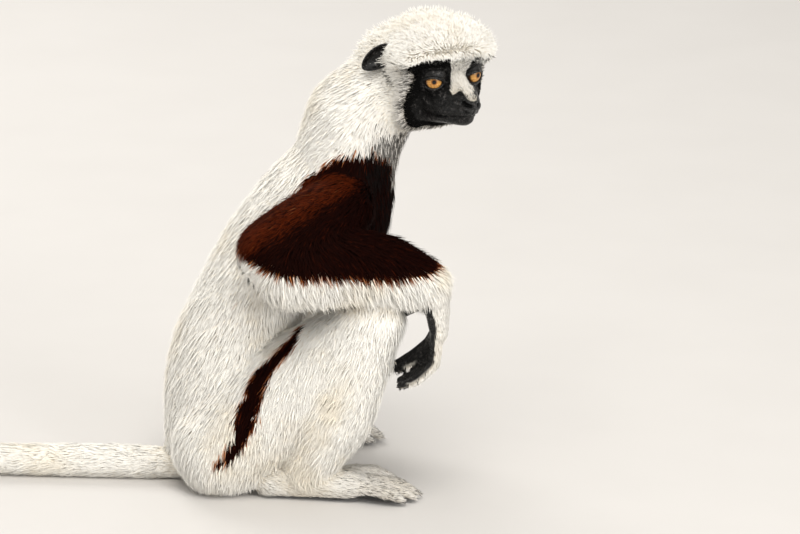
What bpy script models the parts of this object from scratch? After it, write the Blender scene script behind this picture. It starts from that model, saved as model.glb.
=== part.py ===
"""A life-size Coquerel's sifaka, sitting on its haunches with its forearms across its knees.

Each body part is a closed solid out to the tips of the coat. It is drawn as beads (ellipsoids) joined in
chains, which are fused by a voxel remesh, smoothed and thinned. Where two parts press together, the later
one is cut back by a copy of the earlier one, a hair's breadth larger, so that they meet with a thin gap.

Metres, +Z up. The animal faces +X with its right side towards -Y. The floor is Z = 0 and the origin is
on the floor, in the middle of the flat that it sits on.
"""

import math
from dataclasses import dataclass

import bmesh
import bpy
from mathutils import Matrix, Vector

MM = 0.001
PART_GAP = 0.4 * MM          # between two parts that meet
SPHERE_RINGS = 10            # of the ellipsoid that stands for one bead
SPHERE_SIDES = 16

RIGHT = -1                   # the side that lies towards -Y
LEFT = 1
SIDE_NAMES = {RIGHT: "R", LEFT: "L"}

# Joints of the skeleton, in millimetres.
HIP = {RIGHT: (14, -44, 40), LEFT: (14, 44, 40)}
KNEE = {RIGHT: (145, -62, 162), LEFT: (126, 80, 158)}
ANKLE = {RIGHT: (86, -52, 25), LEFT: (36, 102, 25)}
SHOULDER = {RIGHT: (120, -50, 257), LEFT: (122, 46, 262)}
ELBOW = {RIGHT: (64, -90, 226), LEFT: (54, 80, 226)}
WRIST = {RIGHT: (190, -62, 196), LEFT: (126, 32, 168)}

# The head: a point midway between the centres of the eyeballs, and how far the face turns to the right.
EYES_MIDDLE = (206, -31, 363.8)
HEAD_TURN = math.radians(51)
EYE_SPREAD = 18              # from the middle of the face to the centre of an eyeball
EYE_RADIUS = 8.4

TAIL_RADIUS = 14.2
TAIL_LENGTH = 545
TAIL_PIECES = 4

# Colours, linear.
CREAM = (0.80, 0.76, 0.66, 1)
MAROON = (0.045, 0.010, 0.005, 1)
BLACK_SKIN = (0.012, 0.011, 0.010, 1)
GREY_COAT = (0.55, 0.53, 0.49, 1)
AMBER = (0.62, 0.25, 0.03, 1)


def metres(point):
    """A point given in millimetres, as a vector in metres."""
    return Vector(point) * MM


def between(start, end, share):
    """The point that lies this share of the way from start to end."""
    return tuple(a + (b - a) * share for a, b in zip(start, end))


def shifted(point, by):
    return tuple(a + b for a, b in zip(point, by))


def on_head(forward, left, up):
    """A point on the head, in millimetres from the middle of the eyes."""
    ahead = Vector((math.cos(HEAD_TURN), -math.sin(HEAD_TURN), 0))
    sideways = Vector((math.sin(HEAD_TURN), math.cos(HEAD_TURN), 0))
    return tuple(Vector(EYES_MIDDLE) + ahead * forward + sideways * left + Vector((0, 0, up)))


@dataclass
class Bead:
    """An ellipsoid: its centre and half-sizes in millimetres, turned about Y by tilt, then about Z by turn."""

    at: tuple
    size: object
    tilt: float = 0.0
    turn: float = 0.0

    def matrix(self):
        sizes = self.size if isinstance(self.size, tuple) else (self.size,) * 3
        turned = Matrix.Rotation(self.turn, 4, "Z") @ Matrix.Rotation(self.tilt, 4, "Y")
        return Matrix.Translation(metres(self.at)) @ turned @ Matrix.Diagonal((*(s * MM for s in sizes), 1))


def chain(points, sizes, tilt=0.0, turn=0.0):
    """Beads at these points, one size each, for link_beads to join in order."""
    return [Bead(point, size, tilt, turn) for point, size in zip(points, sizes)]


def head_bead(forward, left, up, size):
    """A bead on the head, whose first size runs along the face and whose second runs across it."""
    return Bead(on_head(forward, left, up), size, turn=-HEAD_TURN)


def link_beads(mesh, beads):
    """Adds to mesh the hull of each two neighbouring beads, or the one bead that there is."""
    pairs = list(zip(beads, beads[1:])) or [(beads[0],)]
    for pair in pairs:
        points = []
        for bead in pair:
            ball = bmesh.ops.create_uvsphere(
                mesh, u_segments=SPHERE_SIDES, v_segments=SPHERE_RINGS, radius=1, matrix=bead.matrix()
            )
            points += ball["verts"]
        made = bmesh.ops.convex_hull(mesh, input=points)
        inner = {g for g in made["geom_interior"] + made["geom_unused"] if isinstance(g, bmesh.types.BMVert)}
        bmesh.ops.delete(mesh, geom=list(inner), context="VERTS")


def object_from(name, mesh_edit):
    """A new object, with its mesh, in the scene's own collection."""
    mesh = bpy.data.meshes.new(name)
    mesh_edit.to_mesh(mesh)
    mesh_edit.free()
    made = bpy.data.objects.new(name, mesh)
    bpy.context.scene.collection.objects.link(made)
    return made


def apply_modifiers(shape):
    """Puts the shape's modifiers into its mesh."""
    bpy.context.view_layer.update()
    graph = bpy.context.evaluated_depsgraph_get()
    mesh = bpy.data.meshes.new_from_object(shape.evaluated_get(graph))
    shape.modifiers.clear()
    shape.data = mesh


def fused(name, chains, voxel=3.0, passes=6, triangles=500):
    """The chains of beads as one smooth closed surface of about this many triangles."""
    edit = bmesh.new()
    for beads in chains:
        link_beads(edit, beads)
    shape = object_from(name, edit)
    remesh = shape.modifiers.new("Fuse", "REMESH")
    remesh.mode = "VOXEL"
    remesh.voxel_size = voxel * MM
    smooth = shape.modifiers.new("Soften", "SMOOTH")
    smooth.factor = 0.5
    smooth.iterations = passes
    apply_modifiers(shape)
    thin = shape.modifiers.new("Thin", "DECIMATE")
    shape.data.calc_loop_triangles()
    thin.ratio = min(1.0, triangles / len(shape.data.loop_triangles))
    thin.use_collapse_triangulate = True
    apply_modifiers(shape)
    return shape


def cut_at_floor(shape):
    """Cuts off what lies below the floor, and closes the cut with a flat face."""
    edit = bmesh.new()
    edit.from_mesh(shape.data)
    everything = edit.verts[:] + edit.edges[:] + edit.faces[:]
    bmesh.ops.bisect_plane(
        edit, geom=everything, dist=1e-6, plane_co=(0, 0, 0), plane_no=(0, 0, -1), clear_outer=True
    )
    rim = [e for e in edit.edges if e.is_boundary]
    bmesh.ops.holes_fill(edit, edges=rim)
    bmesh.ops.triangulate(edit, faces=edit.faces[:])
    bmesh.ops.recalc_face_normals(edit, faces=edit.faces[:])
    edit.to_mesh(shape.data)
    edit.free()


def keep_largest(shape):
    """Removes the crumbs that a cut leaves beside the part itself."""
    edit = bmesh.new()
    edit.from_mesh(shape.data)
    left = set(edit.verts)
    islands = []
    while left:
        island, todo = set(), [left.pop()]
        while todo:
            vertex = todo.pop()
            island.add(vertex)
            near = {e.other_vert(vertex) for e in vertex.link_edges} & left
            left -= near
            todo += near
        islands.append(island)
    largest = max(islands, key=len)
    crumbs = [v for island in islands if island is not largest for v in island]
    bmesh.ops.delete(edit, geom=crumbs, context="VERTS")
    edit.to_mesh(shape.data)
    edit.free()


uncut = {}                   # the whole shape of each part, as it was before its neighbours were cut out of it


def cut_back(shape, *neighbours, gap=PART_GAP):
    """Takes from shape the room that its neighbours' whole shapes fill, and a thin gap round them."""
    uncut[shape.name] = shape.data.copy()
    for neighbour in neighbours:
        whole = uncut.get(neighbour.name, neighbour.data)
        cutter = bpy.data.objects.new("cutter", whole.copy())
        bpy.context.scene.collection.objects.link(cutter)
        swell = cutter.modifiers.new("Gap", "DISPLACE")
        swell.mid_level = 0.0
        swell.strength = gap
        apply_modifiers(cutter)
        cut = shape.modifiers.new("Cut", "BOOLEAN")
        cut.operation = "DIFFERENCE"
        cut.solver = "EXACT"
        cut.object = cutter
        apply_modifiers(shape)
        bpy.data.objects.remove(cutter)
    keep_largest(shape)


def coat(name, colour, roughness):
    """A plain material of this colour."""
    material = bpy.data.materials.new(name)
    material.use_nodes = True
    shader = material.node_tree.nodes["Principled BSDF"]
    shader.inputs["Base Color"].default_value = colour
    shader.inputs["Roughness"].default_value = roughness
    return material


def dressed(shape, material):
    """Gives the part its material and smooth shading."""
    shape.data.materials.clear()
    shape.data.materials.append(material)
    shape.data.shade_smooth()
    shape.data.set_sharp_from_angle(angle=math.radians(50))
    return shape


# ---------------------------------------------------------------- trunk and neck

def spine_bead(x, z, depth, width, length, lean):
    """A cross-section of the trunk: lean is the spine's slope from upright, in degrees."""
    return Bead((x, 0, z), (depth, width, length), tilt=math.radians(lean))


def make_hips():
    """The rump, belly and loins, up to the last ribs."""
    spine = [
        spine_bead(0, 40, 42, 50, 42, 0),
        spine_bead(5, 76, 48, 58, 30, 12),
        spine_bead(15, 111, 51, 61, 30, 20),
        spine_bead(31, 149, 50, 60, 30, 26),
    ]
    haunches = [[Bead((8, side * 30, 40), (40, 34, 42))] for side in (RIGHT, LEFT)]
    return fused("hips", [spine, *haunches], triangles=320)


def make_chest():
    """The rib cage and shoulders, with the bib of long hair on the breast."""
    spine = [
        spine_bead(31, 149, 50, 60, 28, 26),
        spine_bead(50, 186, 50, 57, 30, 30),
        spine_bead(73, 222, 50, 54, 30, 36),
        spine_bead(102, 251, 53, 51, 30, 43),
        spine_bead(118, 280, 45, 44, 22, 43),
    ]
    bib = [Bead((124, 0, 226), (26, 36, 30)), Bead((134, 0, 262), (22, 32, 26))]
    shoulders = [[Bead((108, side * 34, 252), (32, 26, 28))] for side in (RIGHT, LEFT)]
    return fused("chest", [spine, bib, *shoulders], triangles=320)


def make_neck():
    """The neck, thick with hair at the nape."""
    nape = [
        spine_bead(113, 282, 49, 44, 24, 43),
        spine_bead(123, 316, 45, 42, 28, 40),
        Bead((143, 2, 341), (41, 36, 35)),
    ]
    return fused("neck", [nape], triangles=160)


# ---------------------------------------------------------------- head

def make_eye(side):
    """An eyeball, which the head and muzzle leave room for."""
    edit = bmesh.new()
    at = head_bead(0, side * EYE_SPREAD, 0, EYE_RADIUS).matrix()
    bmesh.ops.create_uvsphere(edit, u_segments=12, v_segments=8, radius=1, matrix=at)
    bmesh.ops.triangulate(edit, faces=edit.faces[:])
    return object_from(f"eye_{SIDE_NAMES[side]}", edit)


def make_head():
    """The skull, with the deep cap of hair on the crown, the ruff of the cheeks and the hair of the nape."""
    crown = [head_bead(-34, 0, 14, (44, 42, 35)), head_bead(-9, 0, 24, (27, 41, 25))]
    fringe = [
        head_bead(-10 + 10 * math.cos(turn), 36 * math.sin(turn), 17 + 11 * math.cos(turn), 12)
        for turn in (math.radians(step) for step in range(-90, 91, 30))
    ]
    temples = [
        [head_bead(-10, side * 36, 17, 12), head_bead(-26, side * 33, 18, 15)] for side in (RIGHT, LEFT)
    ]
    nape = [head_bead(-34, 0, 12, (40, 40, 34)), Bead((160, 4, 359), (42, 34, 41))]
    face = [head_bead(-14, 0, 4, (16, 30, 16)), head_bead(-12, 0, -16, (16, 28, 14))]
    orbits = [[head_bead(-9, side * 18, 1, (15, 14.5, 14))] for side in (RIGHT, LEFT)]
    cheeks = [
        [
            head_bead(-22, side * 26, 2, (16, 16, 20)),
            head_bead(-23, side * 25, -13, (18, 15, 20)),
            head_bead(-30, side * 22, -30, (20, 18, 20)),
        ]
        for side in (RIGHT, LEFT)
    ]
    throat = [head_bead(-32, 0, -26, (26, 34, 25)), head_bead(-22, 0, -28, (14, 22, 13))]
    return fused("head", [crown, fringe, *temples, nape, face, *orbits, *cheeks, throat], 2.0, 10, 760)


def make_muzzle():
    """The face in front of the eyes: the bridge, the upper lip and the nose."""
    snout = [
        head_bead(-4, 0, -11, (14, 22, 15)),
        head_bead(11, 0, -15.5, (13, 16, 12)),
        head_bead(25, 0, -19.5, (9.5, 10, 7.5)),
    ]
    lips = [
        [
            head_bead(-3, side * 18, -20, 8),
            head_bead(13, side * 10.5, -21, 7.5),
            head_bead(23.5, side * 4, -21.5, 6.5),
        ]
        for side in (RIGHT, LEFT)
    ]
    bridge = [
        head_bead(0, 0, 6, (7, 8, 8)),
        head_bead(12, 0, -6, (8, 7.5, 7)),
        head_bead(26.5, 0, -15, (7.5, 7, 6)),
    ]
    nose = [head_bead(28, 0, -17.5, (8, 8.8, 7))]
    return fused("muzzle", [snout, *lips, bridge, nose], voxel=1.3, passes=5, triangles=320)


def make_jaw():
    """The lower jaw, closed against the upper lip."""
    bone = [
        head_bead(-17, 0, -30, (13, 25, 12)),
        head_bead(4, 0, -30.5, (12, 17, 8)),
        head_bead(17, 0, -31, (9.5, 9.5, 6.8)),
    ]
    return fused("jaw", [bone], voxel=1.5, passes=4, triangles=160)


EAR_MIDDLE = (-36.5, 47.5, 15)   # forward, sideways and up from the middle of the eyes
EAR_HALF_WIDTH = 9.5
EAR_HALF_HEIGHT = 15
EAR_DEPTH = 8
EAR_LEAN = math.radians(46)   # how far its top leans towards the face
EAR_SWEEP = math.radians(37)  # how far the opening faces outwards from straight ahead


def make_ear(side):
    """A cupped pinna that stands out from the hair, open forwards and outwards."""
    edit = bmesh.new()
    bmesh.ops.create_uvsphere(edit, u_segments=14, v_segments=8, radius=1)
    rim_height = 0.1
    front = [v for v in edit.verts if v.co.z > rim_height]
    bmesh.ops.delete(edit, geom=front, context="VERTS")
    # The cup's own X runs up the ear, its Y runs across it, and it opens along its Z.
    cup = Matrix.Diagonal((EAR_HALF_HEIGHT * MM, EAR_HALF_WIDTH * MM, EAR_DEPTH * MM, 1))
    upright = Matrix.Rotation(math.radians(-90), 4, "Y") @ Matrix.Rotation(math.pi, 4, "X")
    lean = Matrix.Rotation(side * EAR_LEAN, 4, "Z")
    forward, sideways, up = EAR_MIDDLE
    facing = Matrix.Rotation(side * EAR_SWEEP - HEAD_TURN, 4, "Z") @ Matrix.Rotation(-0.12, 4, "Y")
    placed = Matrix.Translation(metres(on_head(forward, side * sideways, up)))
    bmesh.ops.transform(edit, matrix=placed @ facing @ upright @ lean @ cup, verts=edit.verts[:])
    ear = object_from(f"ear_{SIDE_NAMES[side]}", edit)
    wall = ear.modifiers.new("Wall", "SOLIDIFY")
    wall.thickness = 1.8 * MM
    wall.offset = 0
    apply_modifiers(ear)
    edit = bmesh.new()
    edit.from_mesh(ear.data)
    bmesh.ops.triangulate(edit, faces=edit.faces[:])
    edit.to_mesh(ear.data)
    edit.free()
    return ear


# ---------------------------------------------------------------- tail

TAIL_ROOT = (-22, -14)
TAIL_HEADING = math.radians(3.6)  # how far its straight length turns to the right of straight back
TAIL_STRAIGHT = 215          # the length that runs straight before the tail swings to the left
TAIL_SWING = math.radians(46)


def tail_point(along):
    """The tail's middle line, this far from its root: straight, then an even curve to the left."""
    back, aside = min(along, TAIL_STRAIGHT), 0.0
    if along > TAIL_STRAIGHT:
        radius = (TAIL_LENGTH - TAIL_STRAIGHT) / TAIL_SWING
        angle = (along - TAIL_STRAIGHT) / radius
        back += radius * math.sin(angle)
        aside = radius * (1 - math.cos(angle))
    root_x, root_y = TAIL_ROOT
    turned = Matrix.Rotation(TAIL_HEADING, 2) @ Vector((-back, aside))
    return (root_x + turned.x, root_y + turned.y, TAIL_RADIUS - 1)


def tail_radius(along):
    """Thickest a little way out from the rump, and drawn in to a blunt tuft at the tip."""
    taper = max(0.0, (along - 0.86 * TAIL_LENGTH) / (0.14 * TAIL_LENGTH))
    swelling = 1 + 0.04 * math.sin(along / 34)
    return TAIL_RADIUS * swelling * (1 - 0.55 * taper**2)


def make_tail_piece(number):
    """One of the lengths that the tail is divided into."""
    length = TAIL_LENGTH / TAIL_PIECES
    start = number * length
    overlap = 6.0
    steps = 7
    along = [start - overlap + (length + overlap) * i / steps for i in range(steps + 1)]
    points = [tail_point(a) for a in along]
    return fused(f"tail_{number + 1}", [chain(points, [tail_radius(a) for a in along])], triangles=108)


# ---------------------------------------------------------------- legs

def make_thigh(side):
    """The thigh, raised to the knee."""
    hip, knee = HIP[side], KNEE[side]
    points = [hip, between(hip, knee, 0.3), between(hip, knee, 0.62), knee]
    sizes = [(44, 38, 45), (42, 36, 44), (38, 32, 40), (28, 25, 28)]
    return fused(f"thigh_{SIDE_NAMES[side]}", [chain(points, sizes)], triangles=190)


def make_shin(side):
    """The lower leg, folded under the thigh, with long hair on the calf."""
    knee, ankle = KNEE[side], ANKLE[side]
    points = [
        between(knee, ankle, 0.06),
        between(knee, ankle, 0.3),
        shifted(between(knee, ankle, 0.62), (3, 0, 0)),
        shifted(between(knee, ankle, 0.85), (2, 0, 0)),
        ankle,
    ]
    sizes = [27, 31, (34, 30, 33), (26, 24, 24), (20, 18, 20)]
    return fused(f"shin_{SIDE_NAMES[side]}", [chain(points, sizes)], triangles=180)


def make_foot(side):
    """The long foot, flat on the floor, with four toes together and their tips bent down."""
    ankle = ANKLE[side]
    ax, ay, _ = ankle
    heel = [Bead((ax - 32, ay, 12.5), (14, 13, 13)), Bead((ax, ay, 17), (22, 15, 18))]
    sole = [Bead((ax, ay, 16), (18, 15, 16)), Bead((ax + 36, ay, 12.5), (16, 16, 13))]
    toes = []
    for place, reach in zip((-1.5, -0.5, 0.5, 1.5), (76, 84, 87, 80)):
        across = ay - side * place * 8.8
        spread = -side * place * 1.6
        toes.append(
            chain(
                [
                    (ax + 38, across * 0.35 + ay * 0.65, 13),
                    (ax + reach - 18, across, 12.5),
                    (ax + reach - 4, across + spread, 10),
                    (ax + reach + 5, across + spread, 5),
                ],
                [8.5, 5.2, 4.7, 3.7],
            )
        )
    foot = fused(f"foot_{SIDE_NAMES[side]}", [heel, sole, *toes], voxel=1.7, passes=3, triangles=300)
    cut_at_floor(foot)
    return foot


def make_great_toe(side):
    """The grasping toe, which stands off from the inner side of the foot."""
    ax, ay, _ = ANKLE[side]
    inward = -side
    points = [
        (ax + 20, ay + inward * 10, 13),
        (ax + 38, ay + inward * 22, 15),
        (ax + 54, ay + inward * 28, 14),
        (ax + 68, ay + inward * 30, 7),
    ]
    toe = fused(f"great_toe_{SIDE_NAMES[side]}", [chain(points, [10, 8, 7.2, 6.2])], 1.6, 3, 120)
    cut_at_floor(toe)
    return toe


# ---------------------------------------------------------------- arms

def make_upper_arm(side):
    """The upper arm, from the shoulder down and out to the elbow."""
    shoulder, elbow = SHOULDER[side], ELBOW[side]
    points = [shoulder, between(shoulder, elbow, 0.5), elbow]
    sizes = {RIGHT: [26, 31, 30], LEFT: [25, 27, 26]}[side]
    return fused(f"upper_arm_{SIDE_NAMES[side]}", [chain(points, sizes)], triangles=150)


def make_forearm(side):
    """The forearm, which lies across the knee, fringed with long hair below."""
    elbow, wrist = ELBOW[side], WRIST[side]
    points = [
        shifted(elbow, (12, 0, -12)),
        shifted(between(elbow, wrist, 0.38), (0, 0, 1)),
        shifted(between(elbow, wrist, 0.7), (0, 0, 6)),
        wrist,
    ]
    sizes = {
        RIGHT: [(33, 27, 33), (32, 26, 33), (28, 23, 29), (20, 19, 20)],
        LEFT: [26, 25, 23, 19],
    }[side]
    return fused(f"forearm_{SIDE_NAMES[side]}", [chain(points, sizes)], triangles=190)


FINGER_SPREAD = 7.4          # between the middle lines of neighbouring fingers


def make_hand(side):
    """The hand, hanging from the wrist with the palm turned back and the fingers half curled."""
    wx, wy, wz = WRIST[side]
    palm = chain(
        [(wx + 3, wy, wz - 4), (wx + 8, wy, wz - 26), (wx + 9, wy, wz - 44)],
        [(15, 15, 15), (10, 15, 12), (7.5, 14, 8)],
    )
    fingers = []
    for place, curl in zip((-1.5, -0.5, 0.5, 1.5), (0.0, 0.25, 0.8, 1.0)):
        across = wy + side * place * FINGER_SPREAD
        straight = [(9, -41), (-1, -56), (-14, -67), (-28, -76)]
        curled = [(9, -42), (7, -67), (-6, -81), (-23, -88)]
        path = [between(open_point, bent, curl) for open_point, bent in zip(straight, curled)]
        points = [(wx + ahead, across, wz + up) for ahead, up in path]
        fingers.append(chain(points, [6.0, 4.6, 4.1, 3.4]))
    return fused(f"hand_{SIDE_NAMES[side]}", [palm, *fingers], 1.5, 3, 300)


def make_thumb(side):
    """The thumb, on the inner side of the hand and bent towards the body."""
    wx, wy, wz = WRIST[side]
    inward = -side
    points = [
        (wx + 2, wy + inward * 10, wz - 18),
        (wx - 6, wy + inward * 18, wz - 24),
        (wx - 16, wy + inward * 20, wz - 30),
        (wx - 25, wy + inward * 18, wz - 35),
    ]
    return fused(f"thumb_{SIDE_NAMES[side]}", [chain(points, [6.5, 5.2, 4.6, 3.8])], 1.4, 3, 100)


# ---------------------------------------------------------------- the whole animal

def build_sifaka():
    """Makes every part, cuts each back from those that it meets, and gives it its material."""
    hair = coat("cream_coat", CREAM, 0.85)
    dark_hair = coat("maroon_coat", MAROON, 0.8)
    skin = coat("black_skin", BLACK_SKIN, 0.5)
    iris = coat("amber_eye", AMBER, 0.15)
    grey_hair = coat("grey_coat", GREY_COAT, 0.85)

    hips, chest, neck = make_hips(), make_chest(), make_neck()
    eyes = [make_eye(side) for side in (RIGHT, LEFT)]
    muzzle, jaw, head = make_muzzle(), make_jaw(), make_head()
    cut_at_floor(hips)
    cut_back(chest, hips)
    cut_back(muzzle, *eyes)
    cut_back(jaw, muzzle)
    cut_back(head, *eyes, muzzle, jaw)
    cut_back(neck, chest, head, jaw)
    for shape in (hips, neck, head):
        dressed(shape, hair)
    dressed(chest, dark_hair)
    for shape in (muzzle, jaw):
        dressed(shape, skin)
    for eye in eyes:
        dressed(eye, iris)

    for side in (RIGHT, LEFT):
        ear = make_ear(side)
        cut_back(ear, head, neck)
        dressed(ear, skin)

    earlier = hips
    for number in range(TAIL_PIECES):
        piece = make_tail_piece(number)
        cut_at_floor(piece)
        cut_back(piece, earlier)
        dressed(piece, hair)
        earlier = piece

    for side in (RIGHT, LEFT):
        thigh, shin, foot = make_thigh(side), make_shin(side), make_foot(side)
        toe = make_great_toe(side)
        cut_at_floor(thigh)
        cut_at_floor(shin)
        cut_back(thigh, hips, chest)
        cut_back(shin, thigh, hips, chest)
        cut_back(foot, shin, thigh, hips)
        cut_back(toe, foot, shin)
        upper_arm, forearm = make_upper_arm(side), make_forearm(side)
        hand, thumb = make_hand(side), make_thumb(side)
        cut_back(upper_arm, chest, neck, hips)
        cut_back(forearm, upper_arm, chest, thigh, shin)
        cut_back(hand, forearm, shin, thigh)
        cut_back(thumb, hand, forearm, shin, thigh)
        for shape in (thigh, shin):
            dressed(shape, hair)
        for shape in (upper_arm, forearm):
            dressed(shape, dark_hair)
        for shape in (foot, toe, hand, thumb):
            dressed(shape, grey_hair)


def gather(name):
    """Puts every object of the scene in one collection of this name."""
    group = bpy.data.collections.new(name)
    bpy.context.scene.collection.children.link(group)
    for shape in list(bpy.context.scene.collection.objects):
        bpy.context.scene.collection.objects.unlink(shape)
        group.objects.link(shape)


def main():
    for shape in list(bpy.data.objects):
        bpy.data.objects.remove(shape)
    build_sifaka()
    gather("sifaka")


main()
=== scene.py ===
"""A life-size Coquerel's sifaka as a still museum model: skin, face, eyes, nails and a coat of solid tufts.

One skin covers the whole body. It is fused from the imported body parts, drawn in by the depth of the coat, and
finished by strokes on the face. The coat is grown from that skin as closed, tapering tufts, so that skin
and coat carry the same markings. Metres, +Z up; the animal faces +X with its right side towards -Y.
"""

import logging
import math
from collections.abc import Iterable
from dataclasses import dataclass, field, fields
from enum import Enum
from typing import NamedTuple

import bmesh
import bpy
import numpy as np
from bpy.types import ID, Material, Mesh, Node, NodeSocket, NodeTree, Object
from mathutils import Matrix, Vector
from mathutils.bvhtree import BVHTree
from mathutils.kdtree import KDTree
from numpy.random import Generator


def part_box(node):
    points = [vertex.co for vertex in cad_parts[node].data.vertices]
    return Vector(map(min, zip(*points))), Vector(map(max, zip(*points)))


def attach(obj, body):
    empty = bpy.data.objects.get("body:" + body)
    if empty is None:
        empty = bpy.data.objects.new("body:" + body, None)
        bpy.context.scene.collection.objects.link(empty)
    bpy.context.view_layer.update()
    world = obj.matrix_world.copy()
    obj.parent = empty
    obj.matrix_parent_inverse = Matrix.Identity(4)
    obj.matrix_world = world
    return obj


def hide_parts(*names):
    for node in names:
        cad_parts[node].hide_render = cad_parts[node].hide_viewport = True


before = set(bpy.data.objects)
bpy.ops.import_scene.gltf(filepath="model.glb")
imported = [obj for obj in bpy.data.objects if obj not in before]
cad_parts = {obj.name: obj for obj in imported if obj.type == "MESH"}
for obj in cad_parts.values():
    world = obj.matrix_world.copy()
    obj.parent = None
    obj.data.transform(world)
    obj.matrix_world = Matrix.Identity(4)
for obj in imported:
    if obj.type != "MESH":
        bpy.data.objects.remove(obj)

log = logging.getLogger("sifaka")
Array = np.ndarray
Seats = tuple[list[Array], list[Array], list[Array]]

MM = 0.001
UP = np.array((0.0, 0.0, 1.0))
BAKE_MAP = "OFBake"
PATCH_REACH = 9.0 * MM
BALD_DEPTH = 0.15
BAKE_PATCH = 0.003
FLOOR_GAP = 0.2 * MM


class Side(Enum):
    """The animal's own right and left, as the sign of Y."""

    RIGHT = -1
    LEFT = 1

    def __str__(self) -> str:
        """R or L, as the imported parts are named."""
        return self.name[0]


# ---- small tools for arrays

def unit(vectors: Array | tuple) -> Array:
    """The vectors, each with a length of one."""
    return vectors / np.maximum(np.linalg.norm(vectors, axis=-1, keepdims=True), 1e-12)


def ramp(value: Array, start: float, end: float) -> Array:
    """Rises smoothly from 0 at start to 1 at end, which may be the lower of the two."""
    share = np.clip((value - start) / (end - start), 0.0, 1.0)
    return share * share * (3.0 - 2.0 * share)


def smoothed(values: Array, edges: Array, rounds: int, share: Array | float = 0.5) -> Array:
    """Draws each point's value towards the mean of its neighbours' values.

    Args:
        values: One row for each point.
        edges: Pairs of points that an edge joins.
        rounds: How many times the values are drawn together.
        share: How far each round goes, for all points or for each.

    Returns:
        The smoothed values, in the shape that they came in.
    """
    table = values.reshape(len(values), -1).astype(float)
    size = len(table)
    first, second = edges[:, 0], edges[:, 1]
    count = np.maximum(np.bincount(edges.ravel(), minlength=size), 1)[:, None]
    step = np.broadcast_to(np.asarray(share, float).reshape(-1, 1), (size, 1))
    for _ in range(rounds):
        sums = [
            np.bincount(first, column[second], size) + np.bincount(second, column[first], size)
            for column in table.T
        ]
        table = table + step * (np.stack(sums, axis=1) / count - table)
    return table.reshape(values.shape)


def polyline_distance(points: Array, route: list[tuple[float, ...]]) -> tuple[Array, Array]:
    """How far each point lies from a route of straight runs.

    Args:
        points: Places, one row each.
        route: The corners of the route, with as many coordinates as the points have.

    Returns:
        The distance of each point, and its nearest place along the route, counted in corners.
    """
    corners = np.array(route, float)
    best = np.full(len(points), np.inf)
    along = np.zeros(len(points))
    for number, (start, end) in enumerate(zip(corners, corners[1:])):
        run = end - start
        share = np.clip((points - start) @ run / (run @ run), 0.0, 1.0)
        gap = np.linalg.norm(points - (start + share[:, None] * run), axis=1)
        nearer = gap < best
        best = np.where(nearer, gap, best)
        along = np.where(nearer, number + share, along)
    return best, along


@dataclass
class Ripples:
    """A smooth random field over space: a sum of sine waves in random directions, between about -1 and 1."""

    wavelength: float
    seed: int
    waves: int = 9

    def at(self, points: Array) -> Array:
        """The field's value at each point.

        Args:
            points: Places.

        Returns:
            One value for each.
        """
        random = np.random.default_rng(self.seed)
        heading = unit(random.normal(size=(self.waves, 3)))
        pitch = 2 * math.pi / (self.wavelength * random.uniform(0.7, 1.5, self.waves))
        phase = random.uniform(0, 2 * math.pi, self.waves)
        waves = np.sin(points @ (heading * pitch[:, None]).T + phase)
        return waves.sum(axis=1) / math.sqrt(self.waves)


# ---- meshes

def new_object(name: str, data: ID) -> Object:
    """An object in the scene, of a mesh, a lamp or a lens.

    Args:
        name: What it is called.
        data: What it holds.

    Returns:
        The object.
    """
    made = bpy.data.objects.new(name, data)
    bpy.context.scene.collection.objects.link(made)
    return made


def solid(name: str, points: Array, faces: list | Array) -> Object:
    """A smooth-shaded object from points and faces.

    Args:
        name: What it is called.
        points: Its points, one row each.
        faces: Its faces, as point numbers.

    Returns:
        The object.
    """
    mesh = bpy.data.meshes.new(name)
    mesh.from_pydata([tuple(p) for p in points], [], [tuple(f) for f in faces])
    mesh.validate()
    mesh.shade_smooth()
    return new_object(name, mesh)


def numbers(items: object, name: str, width: int, kind: type = float) -> Array:
    """Numbers that every item of a mesh carries.

    Args:
        items: The mesh's vertices, edges or triangles.
        name: Of the property that is read.
        width: How many numbers each item has.
        kind: Of number.

    Returns:
        One row for each item.
    """
    flat = np.empty(len(items) * width, kind)
    items.foreach_get(name, flat)
    return flat.reshape(-1, width)


def mesh_points(mesh: Mesh) -> Array:
    """The mesh's points, one row each."""
    return numbers(mesh.vertices, "co", 3)


def mesh_triangles(mesh: Mesh) -> Array:
    """The mesh's faces as triangles of point numbers."""
    mesh.calc_loop_triangles()
    return numbers(mesh.loop_triangles, "vertices", 3, np.int32)


def mesh_edges(mesh: Mesh) -> Array:
    """The mesh's edges as pairs of point numbers."""
    return numbers(mesh.edges, "vertices", 2, np.int32)


def point_normals(points: Array, triangles: Array) -> Array:
    """The outward normal at each point, weighted by the area of the faces round it.

    Args:
        points: Places.
        triangles: Faces.

    Returns:
        One direction for each point.
    """
    a, b, c = (points[triangles[:, k]] for k in range(3))
    faces = np.cross(b - a, c - a)
    columns = [
        sum(np.bincount(triangles[:, k], faces[:, axis], len(points)) for k in range(3))
        for axis in range(3)
    ]
    return unit(np.stack(columns, axis=1))


def set_points(mesh: Mesh, points: Array) -> None:
    """Moves the mesh's points."""
    mesh.vertices.foreach_set("co", points.astype(np.float32).ravel())
    mesh.update()


def set_attribute(mesh: Mesh, name: str, values: Array) -> None:
    """Gives the mesh a number at each point, which its material reads by name."""
    layer = mesh.attributes.new(name, "FLOAT", "POINT")
    layer.data.foreach_set("value", values.astype(np.float32))


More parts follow.
